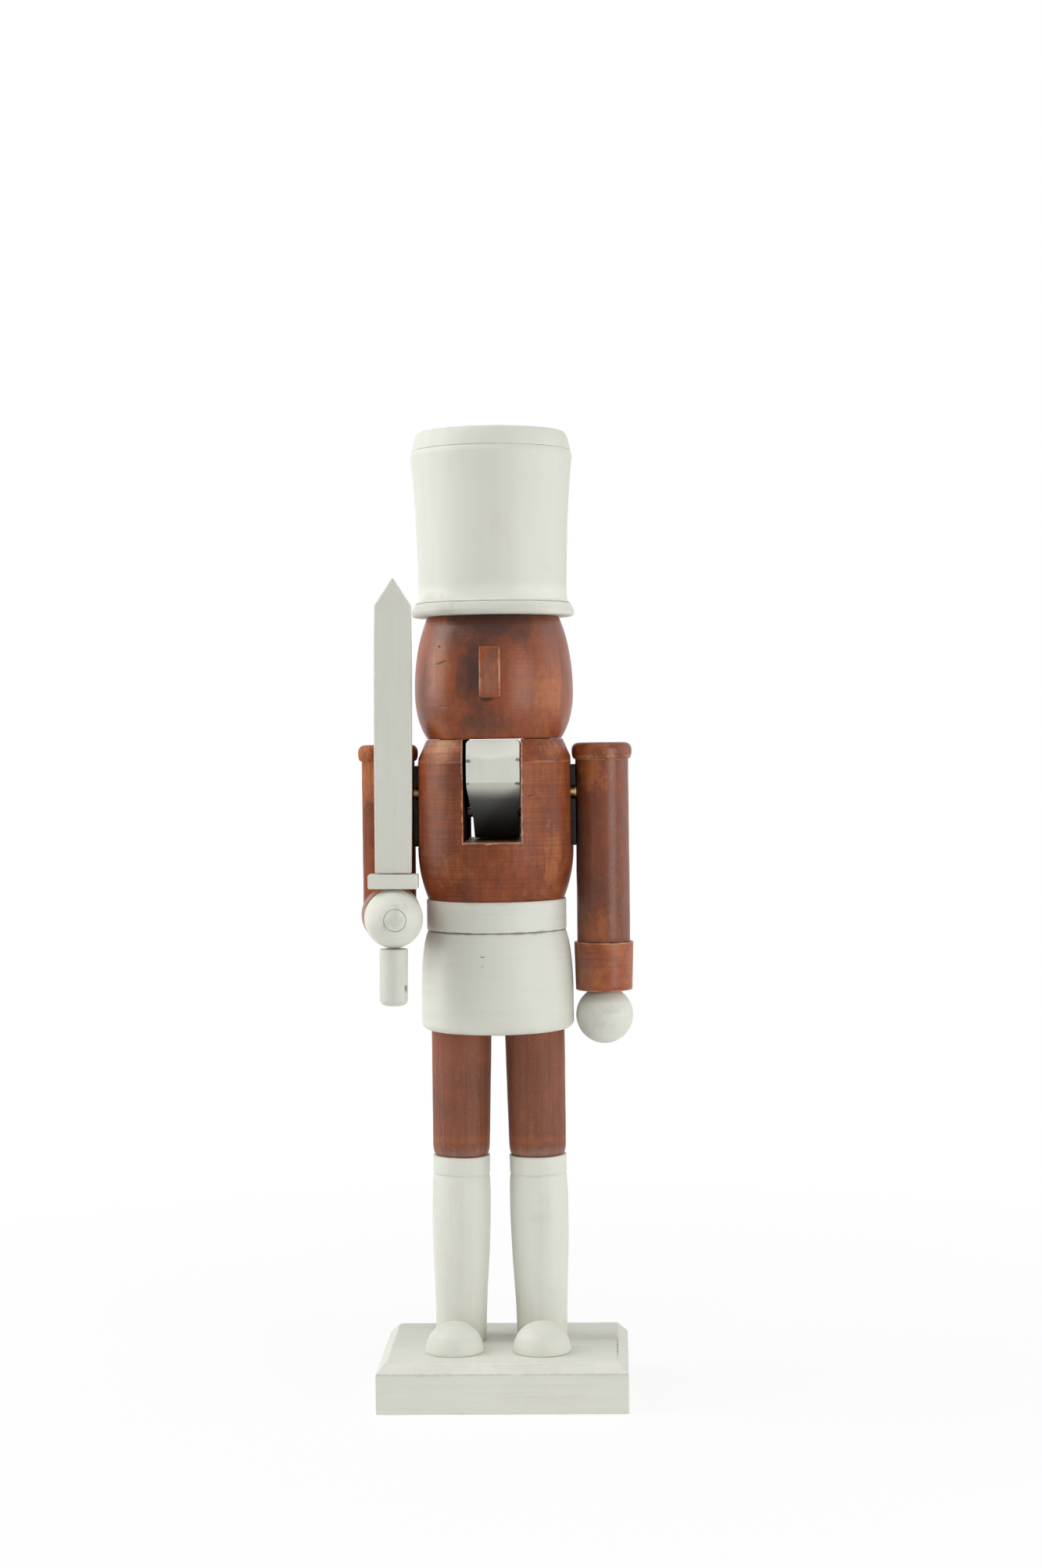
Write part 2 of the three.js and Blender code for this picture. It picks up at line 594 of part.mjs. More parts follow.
function crownShape() {
  const outline = new THREE.Path();
  outline.moveTo(0, 0);
  outline.lineTo(CROWN_BOTTOM_R + CROWN_FLARE, 0);
  outline.quadraticCurveTo(CROWN_BOTTOM_R, 0, CROWN_BOTTOM_R, CROWN_FLARE_HEIGHT);
  outline.quadraticCurveTo(CROWN_CURVE_R, CROWN_CURVE_HEIGHT, CROWN_R, CROWN_HEIGHT - CROWN_ROUND);
  outline.lineTo(CROWN_TOP_R, CROWN_HEIGHT);
  outline.lineTo(0, CROWN_HEIGHT);
  return cut(turned(outline, WIDE_FACETS), rod(HAT_DOWEL_R + GLUE_GAP, -SPARE, HAT_DOWEL_BITE));
}

function hatTopShape() {
  const outline = new THREE.Path();
  outline.moveTo(0, 0);
  outline.lineTo(CROWN_TOP_R, 0);
  const shoulderR = HAT_TOP_R + HAT_TOP_BULGE;
  const shoulderHeight = HAT_TOP_THICKNESS - HAT_TOP_BULGE;
  outline.quadraticCurveTo(shoulderR, shoulderHeight, HAT_TOP_R, HAT_TOP_THICKNESS);
  outline.lineTo(0, HAT_TOP_THICKNESS);
  return turned(outline, WIDE_FACETS);
}

function hatDowelShape() {
  const bite = HAT_DOWEL_BITE - SEAT_GAP;
  return rod(HAT_DOWEL_R, -bite, BRIM_THICKNESS + bite);
}

// Shoulders: a brass pin in each cheek, and a slotted black pad that slips in round it

function shoulderPinShape() {
  const inner = padFlatX - SHOULDER_PIN_BITE + SEAT_GAP;
  return crossRod(SHOULDER_PIN_R, inner, armInnerX + SHOULDER_PIN_BITE - SEAT_GAP);
}

function padShape() {
  const half = PAD_WIDTH / 2;
  const notch = SHOULDER_PIN_R + RUNNING_GAP;
  const top = PAD_ABOVE_PIN - PAD_CORNER;
  const foot = PAD_CORNER - PAD_BELOW_PIN;
  const outline = new THREE.Shape();
  outline.moveTo(-half, notch);
  outline.lineTo(0, notch);
  outline.absarc(0, 0, notch, Math.PI / 2, -Math.PI / 2, true);
  outline.lineTo(-half, -notch);
  outline.absarc(PAD_CORNER - half, foot, PAD_CORNER, Math.PI, Math.PI * 3 / 2);
  outline.absarc(half - PAD_CORNER, foot, PAD_CORNER, -Math.PI / 2, 0);
  outline.absarc(half - PAD_CORNER, top, PAD_CORNER, 0, Math.PI / 2);
  outline.absarc(PAD_CORNER - half, top, PAD_CORNER, Math.PI / 2, Math.PI);
  outline.closePath();
  return board(outline, padThickness, 0);
}

// Arms

// The limb from the height of its lower shoulder to the bead on top, about the shoulder pin's height
function addArmTop(outline) {
  const beadFoot = ARM_ABOVE_PIN - ARM_BEAD_HEIGHT;
  const beadMiddle = beadFoot + ARM_BEAD_HEIGHT / 2;
  outline.lineTo(ARM_R, beadFoot);
  outline.quadraticCurveTo(ARM_BEAD_R, beadFoot, ARM_BEAD_R, beadMiddle);
  outline.quadraticCurveTo(ARM_BEAD_R, ARM_ABOVE_PIN, ARM_BEAD_R - ARM_BEAD_HEIGHT / 2, ARM_ABOVE_PIN);
  outline.lineTo(0, ARM_ABOVE_PIN);
}

// The blind hole for the shoulder pin, from the limb's inner side
function armPinHole(side) {
  const hole = crossRod(SHOULDER_PIN_R + RUNNING_GAP, -ARM_R - SPARE, SHOULDER_PIN_BITE - ARM_R);
  return hole.rotateZ(side < 0 ? Math.PI : 0);
}

function cuffShape(length) {
  const bore = WRIST_SPIGOT_R + GLUE_GAP;
  const outline = new THREE.Path();
  outline.moveTo(bore, 0);
  outline.lineTo(CUFF_END_R - CUFF_ROUND, 0);
  outline.lineTo(CUFF_END_R, CUFF_ROUND);
  outline.lineTo(CUFF_R, length - CUFF_ROUND);
  outline.lineTo(CUFF_R - CUFF_ROUND, length);
  outline.lineTo(bore, length);
  outline.closePath();
  return turned(outline, LIMB_FACETS);
}

// A ball about its centre, flat on top where it meets the cuff, bored along Z for its dowel
function handShape() {
  const outline = new THREE.Path();
  outline.moveTo(wristBoreR, handFlat);
  outline.absarc(0, 0, HAND_R, -Math.acos(wristBoreR / HAND_R), Math.asin(handFlat / HAND_R));
  outline.closePath();
  return turned(outline, LIMB_FACETS);
}

function wristDowelShape() {
  return rod(WRIST_DOWEL_R, -wristDowelEnd, handFlat + WRIST_DOWEL_BITE - SEAT_GAP);
}

function straightArm() {
  const cuffFoot = -ARM_BELOW_PIN - CUFF_LENGTH;
  const handCentre = cuffFoot - SEAT_GAP - handFlat;
  const outline = new THREE.Path();
  outline.moveTo(0, cuffFoot);
  outline.lineTo(WRIST_SPIGOT_R, cuffFoot);
  outline.lineTo(WRIST_SPIGOT_R, GLUE_GAP - ARM_BELOW_PIN);
  outline.lineTo(ARM_R, GLUE_GAP - ARM_BELOW_PIN);
  addArmTop(outline);
  const dowelHole = rod(wristBoreR, cuffFoot - SPARE, cuffFoot + WRIST_DOWEL_BITE);
  const limb = cut(turned(outline, LIMB_FACETS), armPinHole(1), dowelHole);
  const group = new THREE.Group();
  group.position.set(armX, 0, shoulderZ);
  group.add(piece("straight_arm", limb, RED_BROWN_STAIN));
  group.add(piece("straight_cuff", cuffShape(CUFF_LENGTH), RED_BROWN_STAIN, [0, 0, cuffFoot]));
  group.add(piece("straight_hand", handShape(), WHITE_PAINT, [0, 0, handCentre]));
  group.add(piece("straight_wrist_dowel", wristDowelShape(), WHITE_PAINT, [0, 0, handCentre]));
  return group;
}

// Sword arm, about the elbow: the forearm runs along -Y, and the mitre is the plane Y + Z = 0

function mitreWaste(towardForearm) {
  const size = 2 * (ARM_ABOVE_PIN + ELBOW_DROP + ARM_R);
  const offset = size / 2 - SEAT_GAP / 2;
  const waste = new THREE.BoxGeometry(size, size, size);
  return waste.translate(0, 0, towardForearm ? -offset : offset).rotateX(-Math.PI / 4);
}

function elbowRod(radius, bite) {
  return rod(radius, -bite, bite).rotateX(-Math.PI / 4);
}

function upperArmShape() {
  const outline = new THREE.Path();
  outline.moveTo(0, -ELBOW_DROP - 2 * ARM_R);
  outline.lineTo(ARM_R, -ELBOW_DROP - 2 * ARM_R);
  addArmTop(outline);
  const limb = cut(turned(outline, LIMB_FACETS), armPinHole(-1).rotateZ(-FOREARM_TURN));
  limb.translate(0, 0, ELBOW_DROP);
  return cut(limb, mitreWaste(true), elbowRod(ELBOW_DOWEL_R + GLUE_GAP, ELBOW_DOWEL_BITE));
}

function forearmShape(cuffBack, cuffFront) {
  const outline = new THREE.Path();
  outline.moveTo(0, -2 * ARM_R);
  outline.lineTo(ARM_R, -2 * ARM_R);
  outline.lineTo(ARM_R, cuffBack - SEAT_GAP);
  outline.lineTo(WRIST_SPIGOT_R, cuffBack - SEAT_GAP);
  outline.lineTo(WRIST_SPIGOT_R, cuffFront);
  outline.lineTo(0, cuffFront);
  const limb = turned(outline, LIMB_FACETS).rotateX(Math.PI / 2);
  const dowelHole = rod(wristBoreR, cuffFront - WRIST_DOWEL_BITE, cuffFront + SPARE).rotateX(Math.PI / 2);
  return cut(limb, mitreWaste(false), elbowRod(ELBOW_DOWEL_R + GLUE_GAP, ELBOW_DOWEL_BITE), dowelHole);
}

function swordArm() {
  const cuffBack = ARM_R + 2 * SEAT_GAP;
  const cuffFront = cuffBack + SWORD_CUFF_LENGTH;
  const handY = -cuffFront - SEAT_GAP - handFlat;
  const cuff = cuffShape(SWORD_CUFF_LENGTH).rotateX(-Math.PI / 2);
  const tangHole = rod(TANG_R + GLUE_GAP, HAND_R - TANG_BITE, HAND_R + SPARE);
  const gripHole = rod(TANG_R + GLUE_GAP, -HAND_R - SPARE, TANG_BITE - HAND_R);
  const swordHoles = [tangHole, gripHole].map((hole) => hole.rotateY(SWORD_LEAN).rotateZ(-FOREARM_TURN));
  const hand = cut(handShape().rotateX(-Math.PI / 2), ...swordHoles);
  const group = new THREE.Group();
  group.position.set(-armX, 0, shoulderZ - ELBOW_DROP);
  group.rotation.z = FOREARM_TURN;
  group.add(piece("sword_upper_arm", upperArmShape(), RED_BROWN_STAIN));
  group.add(piece("elbow_dowel", elbowRod(ELBOW_DOWEL_R, ELBOW_DOWEL_BITE - SEAT_GAP), BARE_WOOD));
  group.add(piece("sword_forearm", forearmShape(cuffBack, cuffFront), RED_BROWN_STAIN));
  group.add(piece("sword_cuff", cuff, RED_BROWN_STAIN, [0, -cuffFront, 0]));
  group.add(piece("sword_hand", hand, WHITE_PAINT, [0, handY, 0]));
  const dowel = wristDowelShape().rotateX(-Math.PI / 2);
  group.add(piece("sword_wrist_dowel", dowel, WHITE_PAINT, [0, handY, 0]));
  group.add(sword(handY));
  return group;
}

// Sword, about the centre of the hand: guard on the ball, blade above, grip below

function bladeShape() {
  const half = BLADE_WIDTH / 2;
  const swell = half + 2 * BLADE_SWELL;
  const outline = new THREE.Shape();
  outline.moveTo(-half, 0);
  outline.lineTo(half, 0);
  outline.quadraticCurveTo(swell, BLADE_SWELL_HEIGHT, half, BLADE_LENGTH);
  outline.lineTo(0, BLADE_LENGTH + BLADE_POINT);
  outline.lineTo(-half, BLADE_LENGTH);
  outline.quadraticCurveTo(-swell, BLADE_SWELL_HEIGHT, -half, 0);
  const plank = board(outline, BLADE_THICKNESS, BLADE_BEVEL).rotateZ(-Math.PI / 2);
  return join(plank, rod(TANG_R, -GUARD_HEIGHT - TANG_BITE, SPARE));
}

function guardShape() {
  const half = GUARD_DEPTH / 2;
  const outline = new THREE.Shape();
  outline.moveTo(-half, 0);
  outline.lineTo(half, 0);
  outline.lineTo(half, GUARD_HEIGHT);
  outline.lineTo(-half, GUARD_HEIGHT);
  const bar = board(outline, GUARD_WIDTH, GUARD_BEVEL);
  return cut(bar, rod(TANG_R + GLUE_GAP, -SPARE, GUARD_HEIGHT + SPARE));
}

function gripShape() {
  const outline = new THREE.Path();
  outline.moveTo(0, -GRIP_LENGTH);
  outline.lineTo(GRIP_R - GRIP_ROUND, -GRIP_LENGTH);
  outline.absarc(GRIP_R - GRIP_ROUND, GRIP_ROUND - GRIP_LENGTH, GRIP_ROUND, -Math.PI / 2, 0);
  outline.lineTo(GRIP_R, 0);
  outline.lineTo(TANG_R, 0);
  outline.lineTo(TANG_R, TANG_BITE);
  outline.lineTo(0, TANG_BITE);
  return turned(outline, PIN_FACETS);
}

function sword(handY) {
  const guardZ = HAND_R + SEAT_GAP;
  const group = new THREE.Group();
  group.position.y = handY;
  group.rotation.set(0, SWORD_LEAN, -FOREARM_TURN, "ZYX");
  group.add(piece("sword_guard", guardShape(), WHITE_PAINT, [0, 0, guardZ]));
  group.add(piece("sword_blade", bladeShape(), WHITE_PAINT, [0, 0, guardZ + GUARD_HEIGHT + SEAT_GAP]));
  group.add(piece("sword_grip", gripShape(), WHITE_PAINT, [0, 0, -HAND_R - SEAT_GAP]));
  return group;
}

// The whole soldier on its base

const soldier = new THREE.Group();
soldier.position.y = SOLDIER_SETBACK;
soldier.add(piece("skirt", skirtShape(), WHITE_PAINT, [0, 0, skirtZ]));
soldier.add(piece("belt", beltShape(), WHITE_PAINT, [0, 0, beltZ]));
soldier.add(piece("waist_dowel", waistDowelShape(), BARE_WOOD, [0, 0, beltZ]));
soldier.add(piece("torso", torsoShape(), RED_BROWN_STAIN, [0, 0, torsoZ]));
soldier.add(piece("jaw_lever", leverShape(), WHITE_PAINT, [0, JAW_PIN_SETBACK, jawPinZ]));
soldier.add(piece("jaw_pin", jawPinShape(), STEEL, [0, JAW_PIN_SETBACK, jawPinZ]));
soldier.add(piece("head", headShape(), RED_BROWN_STAIN, [0, 0, headZ]));
soldier.add(piece("nose", noseShape(), RED_BROWN_STAIN, [0, 0, headZ]));
soldier.add(piece("hat_brim", brimShape(), WHITE_PAINT, [0, 0, brimZ]));
soldier.add(piece("hat_dowel", hatDowelShape(), BARE_WOOD, [0, 0, brimZ]));
soldier.add(piece("hat_crown", crownShape(), WHITE_PAINT, [0, 0, crownZ]));
soldier.add(piece("hat_top", hatTopShape(), WHITE_PAINT, [0, 0, hatTopZ]));
for (const side of [-1, 1]) {
  const name = sideName(side);
  const pad = padShape();
  const pin = shoulderPinShape().rotateZ(side < 0 ? Math.PI : 0);
  const padX = side * (padFlatX + SEAT_GAP + padThickness / 2);
  soldier.add(leg(side));
  soldier.add(piece(name + "_toe", toeShape(side), WHITE_PAINT));
  soldier.add(piece(name + "_neck_dowel", neckDowelShape(), BARE_WOOD, [side * neckX, 0, headZ]));
  soldier.add(piece(name + "_shoulder_pin", pin, BRASS, [0, 0, shoulderZ]));
  soldier.add(piece(name + "_shoulder_pad", pad, BLACK_FELT, [padX, 0, shoulderZ]));
  soldier.add(piece(name + "_base_screw", screwShape(), STEEL, [side * FOOT_SPACING / 2, 0, 0]));
}
soldier.add(straightArm());
soldier.add(swordArm());

const nutcracker = new THREE.Group();
nutcracker.add(piece("base", baseBlock(), WHITE_PAINT));
nutcracker.add(soldier);

export default nutcracker;
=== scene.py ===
import json
import math

import bmesh
import bpy
from bpy.props import FloatProperty, FloatVectorProperty, PointerProperty
from mathutils import Matrix, Vector, noise


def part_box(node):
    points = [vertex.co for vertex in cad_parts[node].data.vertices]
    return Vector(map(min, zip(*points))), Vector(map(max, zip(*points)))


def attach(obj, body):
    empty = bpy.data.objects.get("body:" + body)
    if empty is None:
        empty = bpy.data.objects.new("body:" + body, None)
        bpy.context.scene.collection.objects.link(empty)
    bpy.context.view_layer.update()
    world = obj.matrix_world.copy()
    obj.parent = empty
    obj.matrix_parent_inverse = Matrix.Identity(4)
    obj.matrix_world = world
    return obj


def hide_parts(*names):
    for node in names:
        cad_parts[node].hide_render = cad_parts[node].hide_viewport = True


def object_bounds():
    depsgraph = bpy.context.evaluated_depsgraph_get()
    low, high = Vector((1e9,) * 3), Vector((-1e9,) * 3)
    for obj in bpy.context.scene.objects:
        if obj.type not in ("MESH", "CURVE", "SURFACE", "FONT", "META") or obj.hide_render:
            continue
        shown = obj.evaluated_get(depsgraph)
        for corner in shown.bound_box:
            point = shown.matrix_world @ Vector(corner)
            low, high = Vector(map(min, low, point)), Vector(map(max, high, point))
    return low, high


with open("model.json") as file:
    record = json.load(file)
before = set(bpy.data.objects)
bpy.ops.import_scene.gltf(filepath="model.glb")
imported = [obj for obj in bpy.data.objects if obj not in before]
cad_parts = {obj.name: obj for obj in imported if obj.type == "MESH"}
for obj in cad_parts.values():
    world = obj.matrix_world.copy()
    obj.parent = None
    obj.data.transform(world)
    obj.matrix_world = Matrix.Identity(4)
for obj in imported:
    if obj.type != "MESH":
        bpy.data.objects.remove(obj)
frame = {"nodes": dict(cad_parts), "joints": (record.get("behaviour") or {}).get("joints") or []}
CAD_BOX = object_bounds()

bl_info = {
    "name": "Nutcracker Soldier",
    "version": (1, 0, 0),
    "blender": (4, 5, 0),
    "location": "View3D > Sidebar > Nutcracker",
    "description": "Builds a turned wooden nutcracker soldier over its solid frame",
    "category": "Add Mesh",
}


def mm(value):
    """Millimetres as metres."""
    return value / 1000


FIGURE, JAW, HANGING_ARM, SWORD_ARM = "figure", "jaw", "hanging_arm", "sword_arm"
WIDE_FACETS, LIMB_FACETS, PIN_FACETS = 128, 96, 40
OUTLINE_STEP = 0.0025
CURVE_STEPS = 14
MERGE_DISTANCE = 1e-6
CREASE_ANGLE = math.radians(17)
SHARP_ANGLE = math.radians(40)
SOFT_SEGMENTS, CORNER_SEGMENTS = 3, 6
CUT_SPARE = mm(1)
SLOT_SKIN = mm(0.05)
ALL_ROUND = 200
RIGHT_ANGLE = math.pi / 2
CLOUD_LIGHT, STROKE_LIGHT, SPECK_LIGHT, PORE_LIGHT, WISP_LIGHT = 0.82, 0.6, 0.45, 0.5, 0.55
RUB_FADE = 0.22
FLOOR_HALF = 4
SENSOR_WIDTH, CLIP_START = 36, 0.05
WHITE = (1, 1, 1, 1)
WEAR_LAYER = "edge_wear"
LEFT, RIGHT = -1, 1
SIDE_NAMES = {LEFT: "left", RIGHT: "right"}


def foot(node):
    """The middle of a solid's underside."""
    low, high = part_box(node)
    return Vector(((low.x + high.x) / 2, (low.y + high.y) / 2, low.z))


def at_foot(node):
    return Matrix.Translation(foot(node))


def half_width(node):
    low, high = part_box(node)
    return (high.x - low.x) / 2


def tall(node):
    low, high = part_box(node)
    return high.z - low.z


def joint_place(name):
    return Vector(next(joint["pos_m"] for joint in frame["joints"] if joint["name"] == name))


def length(name, description, millimetres):
    return FloatProperty(
        name=name, description=description, default=mm(millimetres), unit="LENGTH", precision=4
    )


def share(name, description, default):
    return FloatProperty(name=name, description=description, default=default, min=0, max=1, subtype="FACTOR")


def turn(name, description, degrees):
    return FloatProperty(name=name, description=description, default=math.radians(degrees), unit="ROTATION")


def power(name, description, default):
    return FloatProperty(name=name, description=description, default=default, min=0, unit="POWER")


def colour(name, description, default):
    return FloatVectorProperty(
        name=name, description=description, default=default, subtype="COLOR", size=3, min=0, max=1
    )


class SoldierFinish(bpy.types.PropertyGroup):
    """Colours and surface of the paint, stain and metal"""

    paint: colour("Paint", "Off-white paint", (0.68, 0.685, 0.61))
    # Painted highlight: lighter paint where a face turns up to the lamps, on the jaw's lip and the crown's
    # flare.
    paint_light: colour("Light paint", "Paint on the lip, which is rubbed brighter", (0.8, 0.805, 0.72))
    paint_warm: colour("Undercoat", "Pinkish stain that shows through thin paint", (0.62, 0.45, 0.36))
    stain: colour("Stain", "Reddish-brown stain on the wood", (0.285, 0.064, 0.018))
    # Real thick stain in blotches, grain and pores, and also painted shade under the brim, about the nose and
    # on the arm's side toward the torso.
    stain_dark: colour("Dark stain", "Stain where it lies thick", (0.068, 0.023, 0.013))
    # Real rubbed stain, and also painted highlight on the left shoulder's slope.
    stain_worn: colour("Worn stain", "Lighter wood where the stain is rubbed", (0.42, 0.13, 0.036))
    # Also painted shade, near black, on the walls within the torso's slot.
    scratch: colour("Scratch", "Dirt in scratches and nicks", (0.03, 0.012, 0.008))
    # Real rubbed edges, and also painted highlight on the left shoulder's slope.
    rubbed_edge: colour("Rubbed edge", "Bare wood along a rubbed edge", (0.55, 0.3, 0.17))
    dry_film: colour("Dry film", "Dull film left on top of the stain", (0.3, 0.18, 0.135))
    # Real dirt in nicks, knots, grain and a crack, and also painted shade on the hat's brim and in the boots'
    # groove.
    paint_dirt: colour("Dirt", "Dirt in nicks and along edges of the paint", (0.13, 0.11, 0.095))
    # Painted shade: near black under the chin, for the shade that falls into the torso's slot below the jaw.
    chin_painted_shade: colour("Chin black", "Black under the chin", (0.16, 0.168, 0.16))
    bare_wood: colour("Bare wood", "Dowels with no finish", (0.58, 0.39, 0.2))
    felt: colour("Felt", "Black felt of the shoulder pads", (0.011, 0.01, 0.01))
    brass: colour("Brass", "Shoulder pins", (0.44, 0.24, 0.06))
    steel: colour("Steel", "Screws and jaw pin", (0.36, 0.37, 0.38))
    edge_round: length("Edge rounding", "Rounding of sanded edges", 0.45)
    unevenness: length("Unevenness", "How far hand sanding leaves a surface uneven", 0.07)
    uneven_span: length("Uneven span", "Width of one uneven patch", 9)


class BaseSizes(bpy.types.PropertyGroup):
    """The block that the soldier stands on"""

    chamfer: length("Chamfer", "Chamfer round the top", 4.2)
    panel: length("Panel", "Spacing of the cuts across the block's faces", 6)
    setback: length("Setback", "How far the soldier stands behind the block's middle", 5)


class LegSizes(bpy.types.PropertyGroup):
    """Boots, toes and upper legs"""

    foot_spacing: length("Foot spacing", "Between the boots' middles", 32.6)
    hip_spacing: length("Hip spacing", "Between the legs' tops", 29.3)
    sole_radius: length("Sole radius", "Boot at the base", 10.1)
    calf_radius: length("Calf radius", "Boot at its fullest", 11.7)
    calf_height: length("Calf height", "Height of the boot's fullest part", 54.5)
    groove_radius: length("Groove radius", "Groove under the boot's band", 11)
    band_radius: length("Band radius", "Band round the boot's top", 11.4)
    band_height: length("Band height", "Height of the band", 7.4)
    boot_height: length("Boot height", "From the base to the band's top", 74.2)
    leg_radius: length("Leg radius", "Upper leg at the skirt", 12)
    leg_foot_radius: length("Leg foot radius", "Upper leg at the boot", 11.4)
    leg_end_radius: length("Leg end radius", "Upper leg where it rounds into the boot", 10.1)
    leg_length: length("Leg length", "Upper leg from boot to skirt", 50.2)
    leg_round: length("Leg rounding", "Rounded foot of the upper leg", 5.5)
    groove_lead: length("Groove lead", "How far below the band the boot begins to narrow", 0.8)
    groove_rise: length("Groove rise", "Height of the slope from groove to band", 0.5)
    toe_radius: length("Toe radius", "Half ball of the toe", 11.5)
    toe_reach: length("Toe reach", "From the boot's middle to the toe's", 20.3)
    toe_edge: length("Toe edge", "Rounding of the toe's edges", 0.35)
    left_toe_turn: turn("Left toe turn", "How far the left toe points aside", -4.3)
    right_toe_turn: turn("Right toe turn", "How far the right toe points aside", 0.7)
    edge_round: length("Edge rounding", "Rounding at the boot's groove and band", 0.2)
    seam: length("Seam", "Gap between pieces that are set together", 0.3)


class TrunkSizes(bpy.types.PropertyGroup):
    """Skirt, belt and torso"""

    skirt_top_radius: length("Skirt top radius", "Skirt where it meets the belt", 27.4)
    skirt_straight: length("Skirt straight", "Height of the skirt's upright part", 12)
    skirt_curve: length("Skirt curve", "Height that the skirt's curve leans to", 33)
    skirt_round: length("Skirt rounding", "Rounding under the skirt", 3)
    waist_radius: length("Waist radius", "Torso where it meets the belt", 27.2)
    neck_radius: length("Neck radius", "Torso where it meets the head", 27.2)
    waist_height: length("Waist height", "Height of the torso's curved foot", 20)
    waist_curve: length("Waist curve", "Height that the foot's curve leans to", 10)
    shoulder_slope: length("Shoulder slope", "Height of the sloped shoulders", 8.8)
    slot_width: length("Slot width", "Slot for the jaw lever", 22.6)
    slot_depth: length("Slot depth", "From the torso's top to the slot's floor", 40.2)
    slot_edge: length("Slot edge", "Rubbed edges of the slot", 0.6)
    pad_flat: length("Pad flat", "From the middle to the flat under a shoulder pad", 30.23)
    pad_flat_drop: length("Pad flat drop", "How far the flat reaches below the shoulder pin", 21.6)


class JawSizes(bpy.types.PropertyGroup):
    """The lever that is chin, mouth and handle in one"""

    chin_setback: length("Chin setback", "How far the chin stands behind the torso's front", 0.9)
    side_gap: length("Side gap", "Beside the lever in its slot", 0.9)
    lean: length("Lean", "How far the lever sits to the right in its slot", 0.5)
    top_gap: length("Top gap", "Between the jaw and the head", 0.15)
    slope_height: length("Slope height", "Height of the lip's slope", 7.5)
    slope_setback: length("Slope setback", "How far the lip leans back", 3.1)
    face_height: length("Face height", "Height of the chin's upright face", 9.2)
    top_depth: length("Top depth", "Depth of the flat behind the lip", 13)
    boss_radius: length("Boss radius", "Round about the pin", 10.4)
    lever_width: length("Lever width", "Lever behind the jaw", 17.8)
    pin_radius: length("Pin radius", "Hole for the jaw pin", 2.25)
    rise: length("Rise", "Top of the lever over the pin", 15)
    mouth_rise: length("Mouth rise", "Height of the mouth's floor over the pin", 16)
    neck_rise: length("Neck rise", "Top of the neck over the pin", 12)
    undercut: length("Undercut", "Underside of the neck below the pin", 9)
    handle_gap: length("Handle gap", "Between the handle and the coat", 3.4)
    handle_thickness: length("Handle thickness", "Handle at its top", 11)
    handle_slimming: length("Handle slimming", "How much the handle thins to its end", 2)
    handle_bend: length("Handle bend", "Bend from neck to handle", 9)
    edge_bevel: length("Edge bevel", "Rounding along the lever's sides", 0.5)
    corner_round: length("Corner rounding", "Rounding of the lip's corners", 1.8)
    # Where the painted shade under the chin lies: the near black that stands for the shade in the slot.
    chin_shade_edge: length("Black edge", "How far below the chin the paint is all white", 1)
    chin_shade_height: length("Black height", "How far below the chin the paint is all black", 7.5)
    chin_shade_back: length("Black back", "How far back the paint under the chin is black", 24)
    chin_shade_fade: length("Black fade", "Over how much the black ends toward the handle", 6)


class HeadSizes(bpy.types.PropertyGroup):
    """Head and nose"""

    chin_radius: length("Chin radius", "Head at its foot", 26.7)
    brow_radius: length("Brow radius", "Head under the hat", 26.3)
    widest_height: length("Widest height", "Height of the head's fullest part", 18.7)
    chin_curve: length("Chin curve", "Height that the chin's curve leans to", 7.5)
    brow_curve: length("Brow curve", "Height that the brow's curve leans to", 36)
    nose_tip: length("Nose tip", "How far the nose's tip stands out", 6.5)
    nose_bridge: length("Nose bridge", "How far the nose's bridge stands out", 3.2)
    nose_bevel: length("Nose bevel", "Rounding of the nose's edges", 0.8)


class HatSizes(bpy.types.PropertyGroup):
    """Brim, crown and top"""

    brim_round: length("Brim rounding", "Rounded lower half of the brim", 2)
    crown_radius: length("Crown radius", "Crown above the brim", 29.55)
    flare: length("Flare", "How far the crown's foot flares", 1.5)
    flare_height: length("Flare height", "Height of the flare", 4.5)
    curve_radius: length("Curve radius", "Radius that the crown's curve leans to", 29.9)
    curve_height: length("Curve height", "Height that the crown's curve leans to", 38)
    crown_round: length("Crown rounding", "Height of the crown's rounded top edge", 2)
    top_radius: length("Top radius", "Flat of the hat's top", 29.3)
    seam_round: length("Seam rounding", "Rounding where the hat's pieces meet", 0.18)
    top_bulge: length("Top bulge", "Fullness of the hat's sloped top", 1.5)


class ArmSizes(bpy.types.PropertyGroup):
    """Arms, cuffs and hands"""

    radius: length("Arm radius", "Plain round of the arm", 10.6)
    bead_radius: length("Bead radius", "Bead round the arm's top", 12)
    bead_height: length("Bead height", "Height of the bead", 6.6)
    above_pin: length("Above pin", "Arm above the shoulder pin", 19.5)
    below_pin: length("Below pin", "Hanging arm below the shoulder pin", 60)
    cuff_radius: length("Cuff radius", "Cuff at the arm", 11.85)
    cuff_end_radius: length("Cuff end radius", "Cuff at the hand", 11.3)
    cuff_length: length("Cuff length", "Cuff of the hanging arm", 19.3)
    sword_cuff_length: length("Sword cuff length", "Cuff of the sword arm", 12.9)
    hand_radius: length("Hand radius", "Ball of the hand", 11.4)
    hand_flat: length("Hand flat", "Depth of the flat against the cuff", 1.6)
    dowel_radius: length("Dowel radius", "Dowel through the hand", 4.2)
    dowel_bite: length("Dowel bite", "Dowel in the arm", 11.7)
    dowel_gap: length("Dowel gap", "Glue line round the dowel", 0.15)
    elbow_drop: length("Elbow drop", "From the shoulder pin to the elbow", 47.8)
    forearm_turn: turn("Forearm turn", "How far the forearm points inward", 7.1)
    seam: length("Seam", "Gap between pieces that are set together", 0.3)


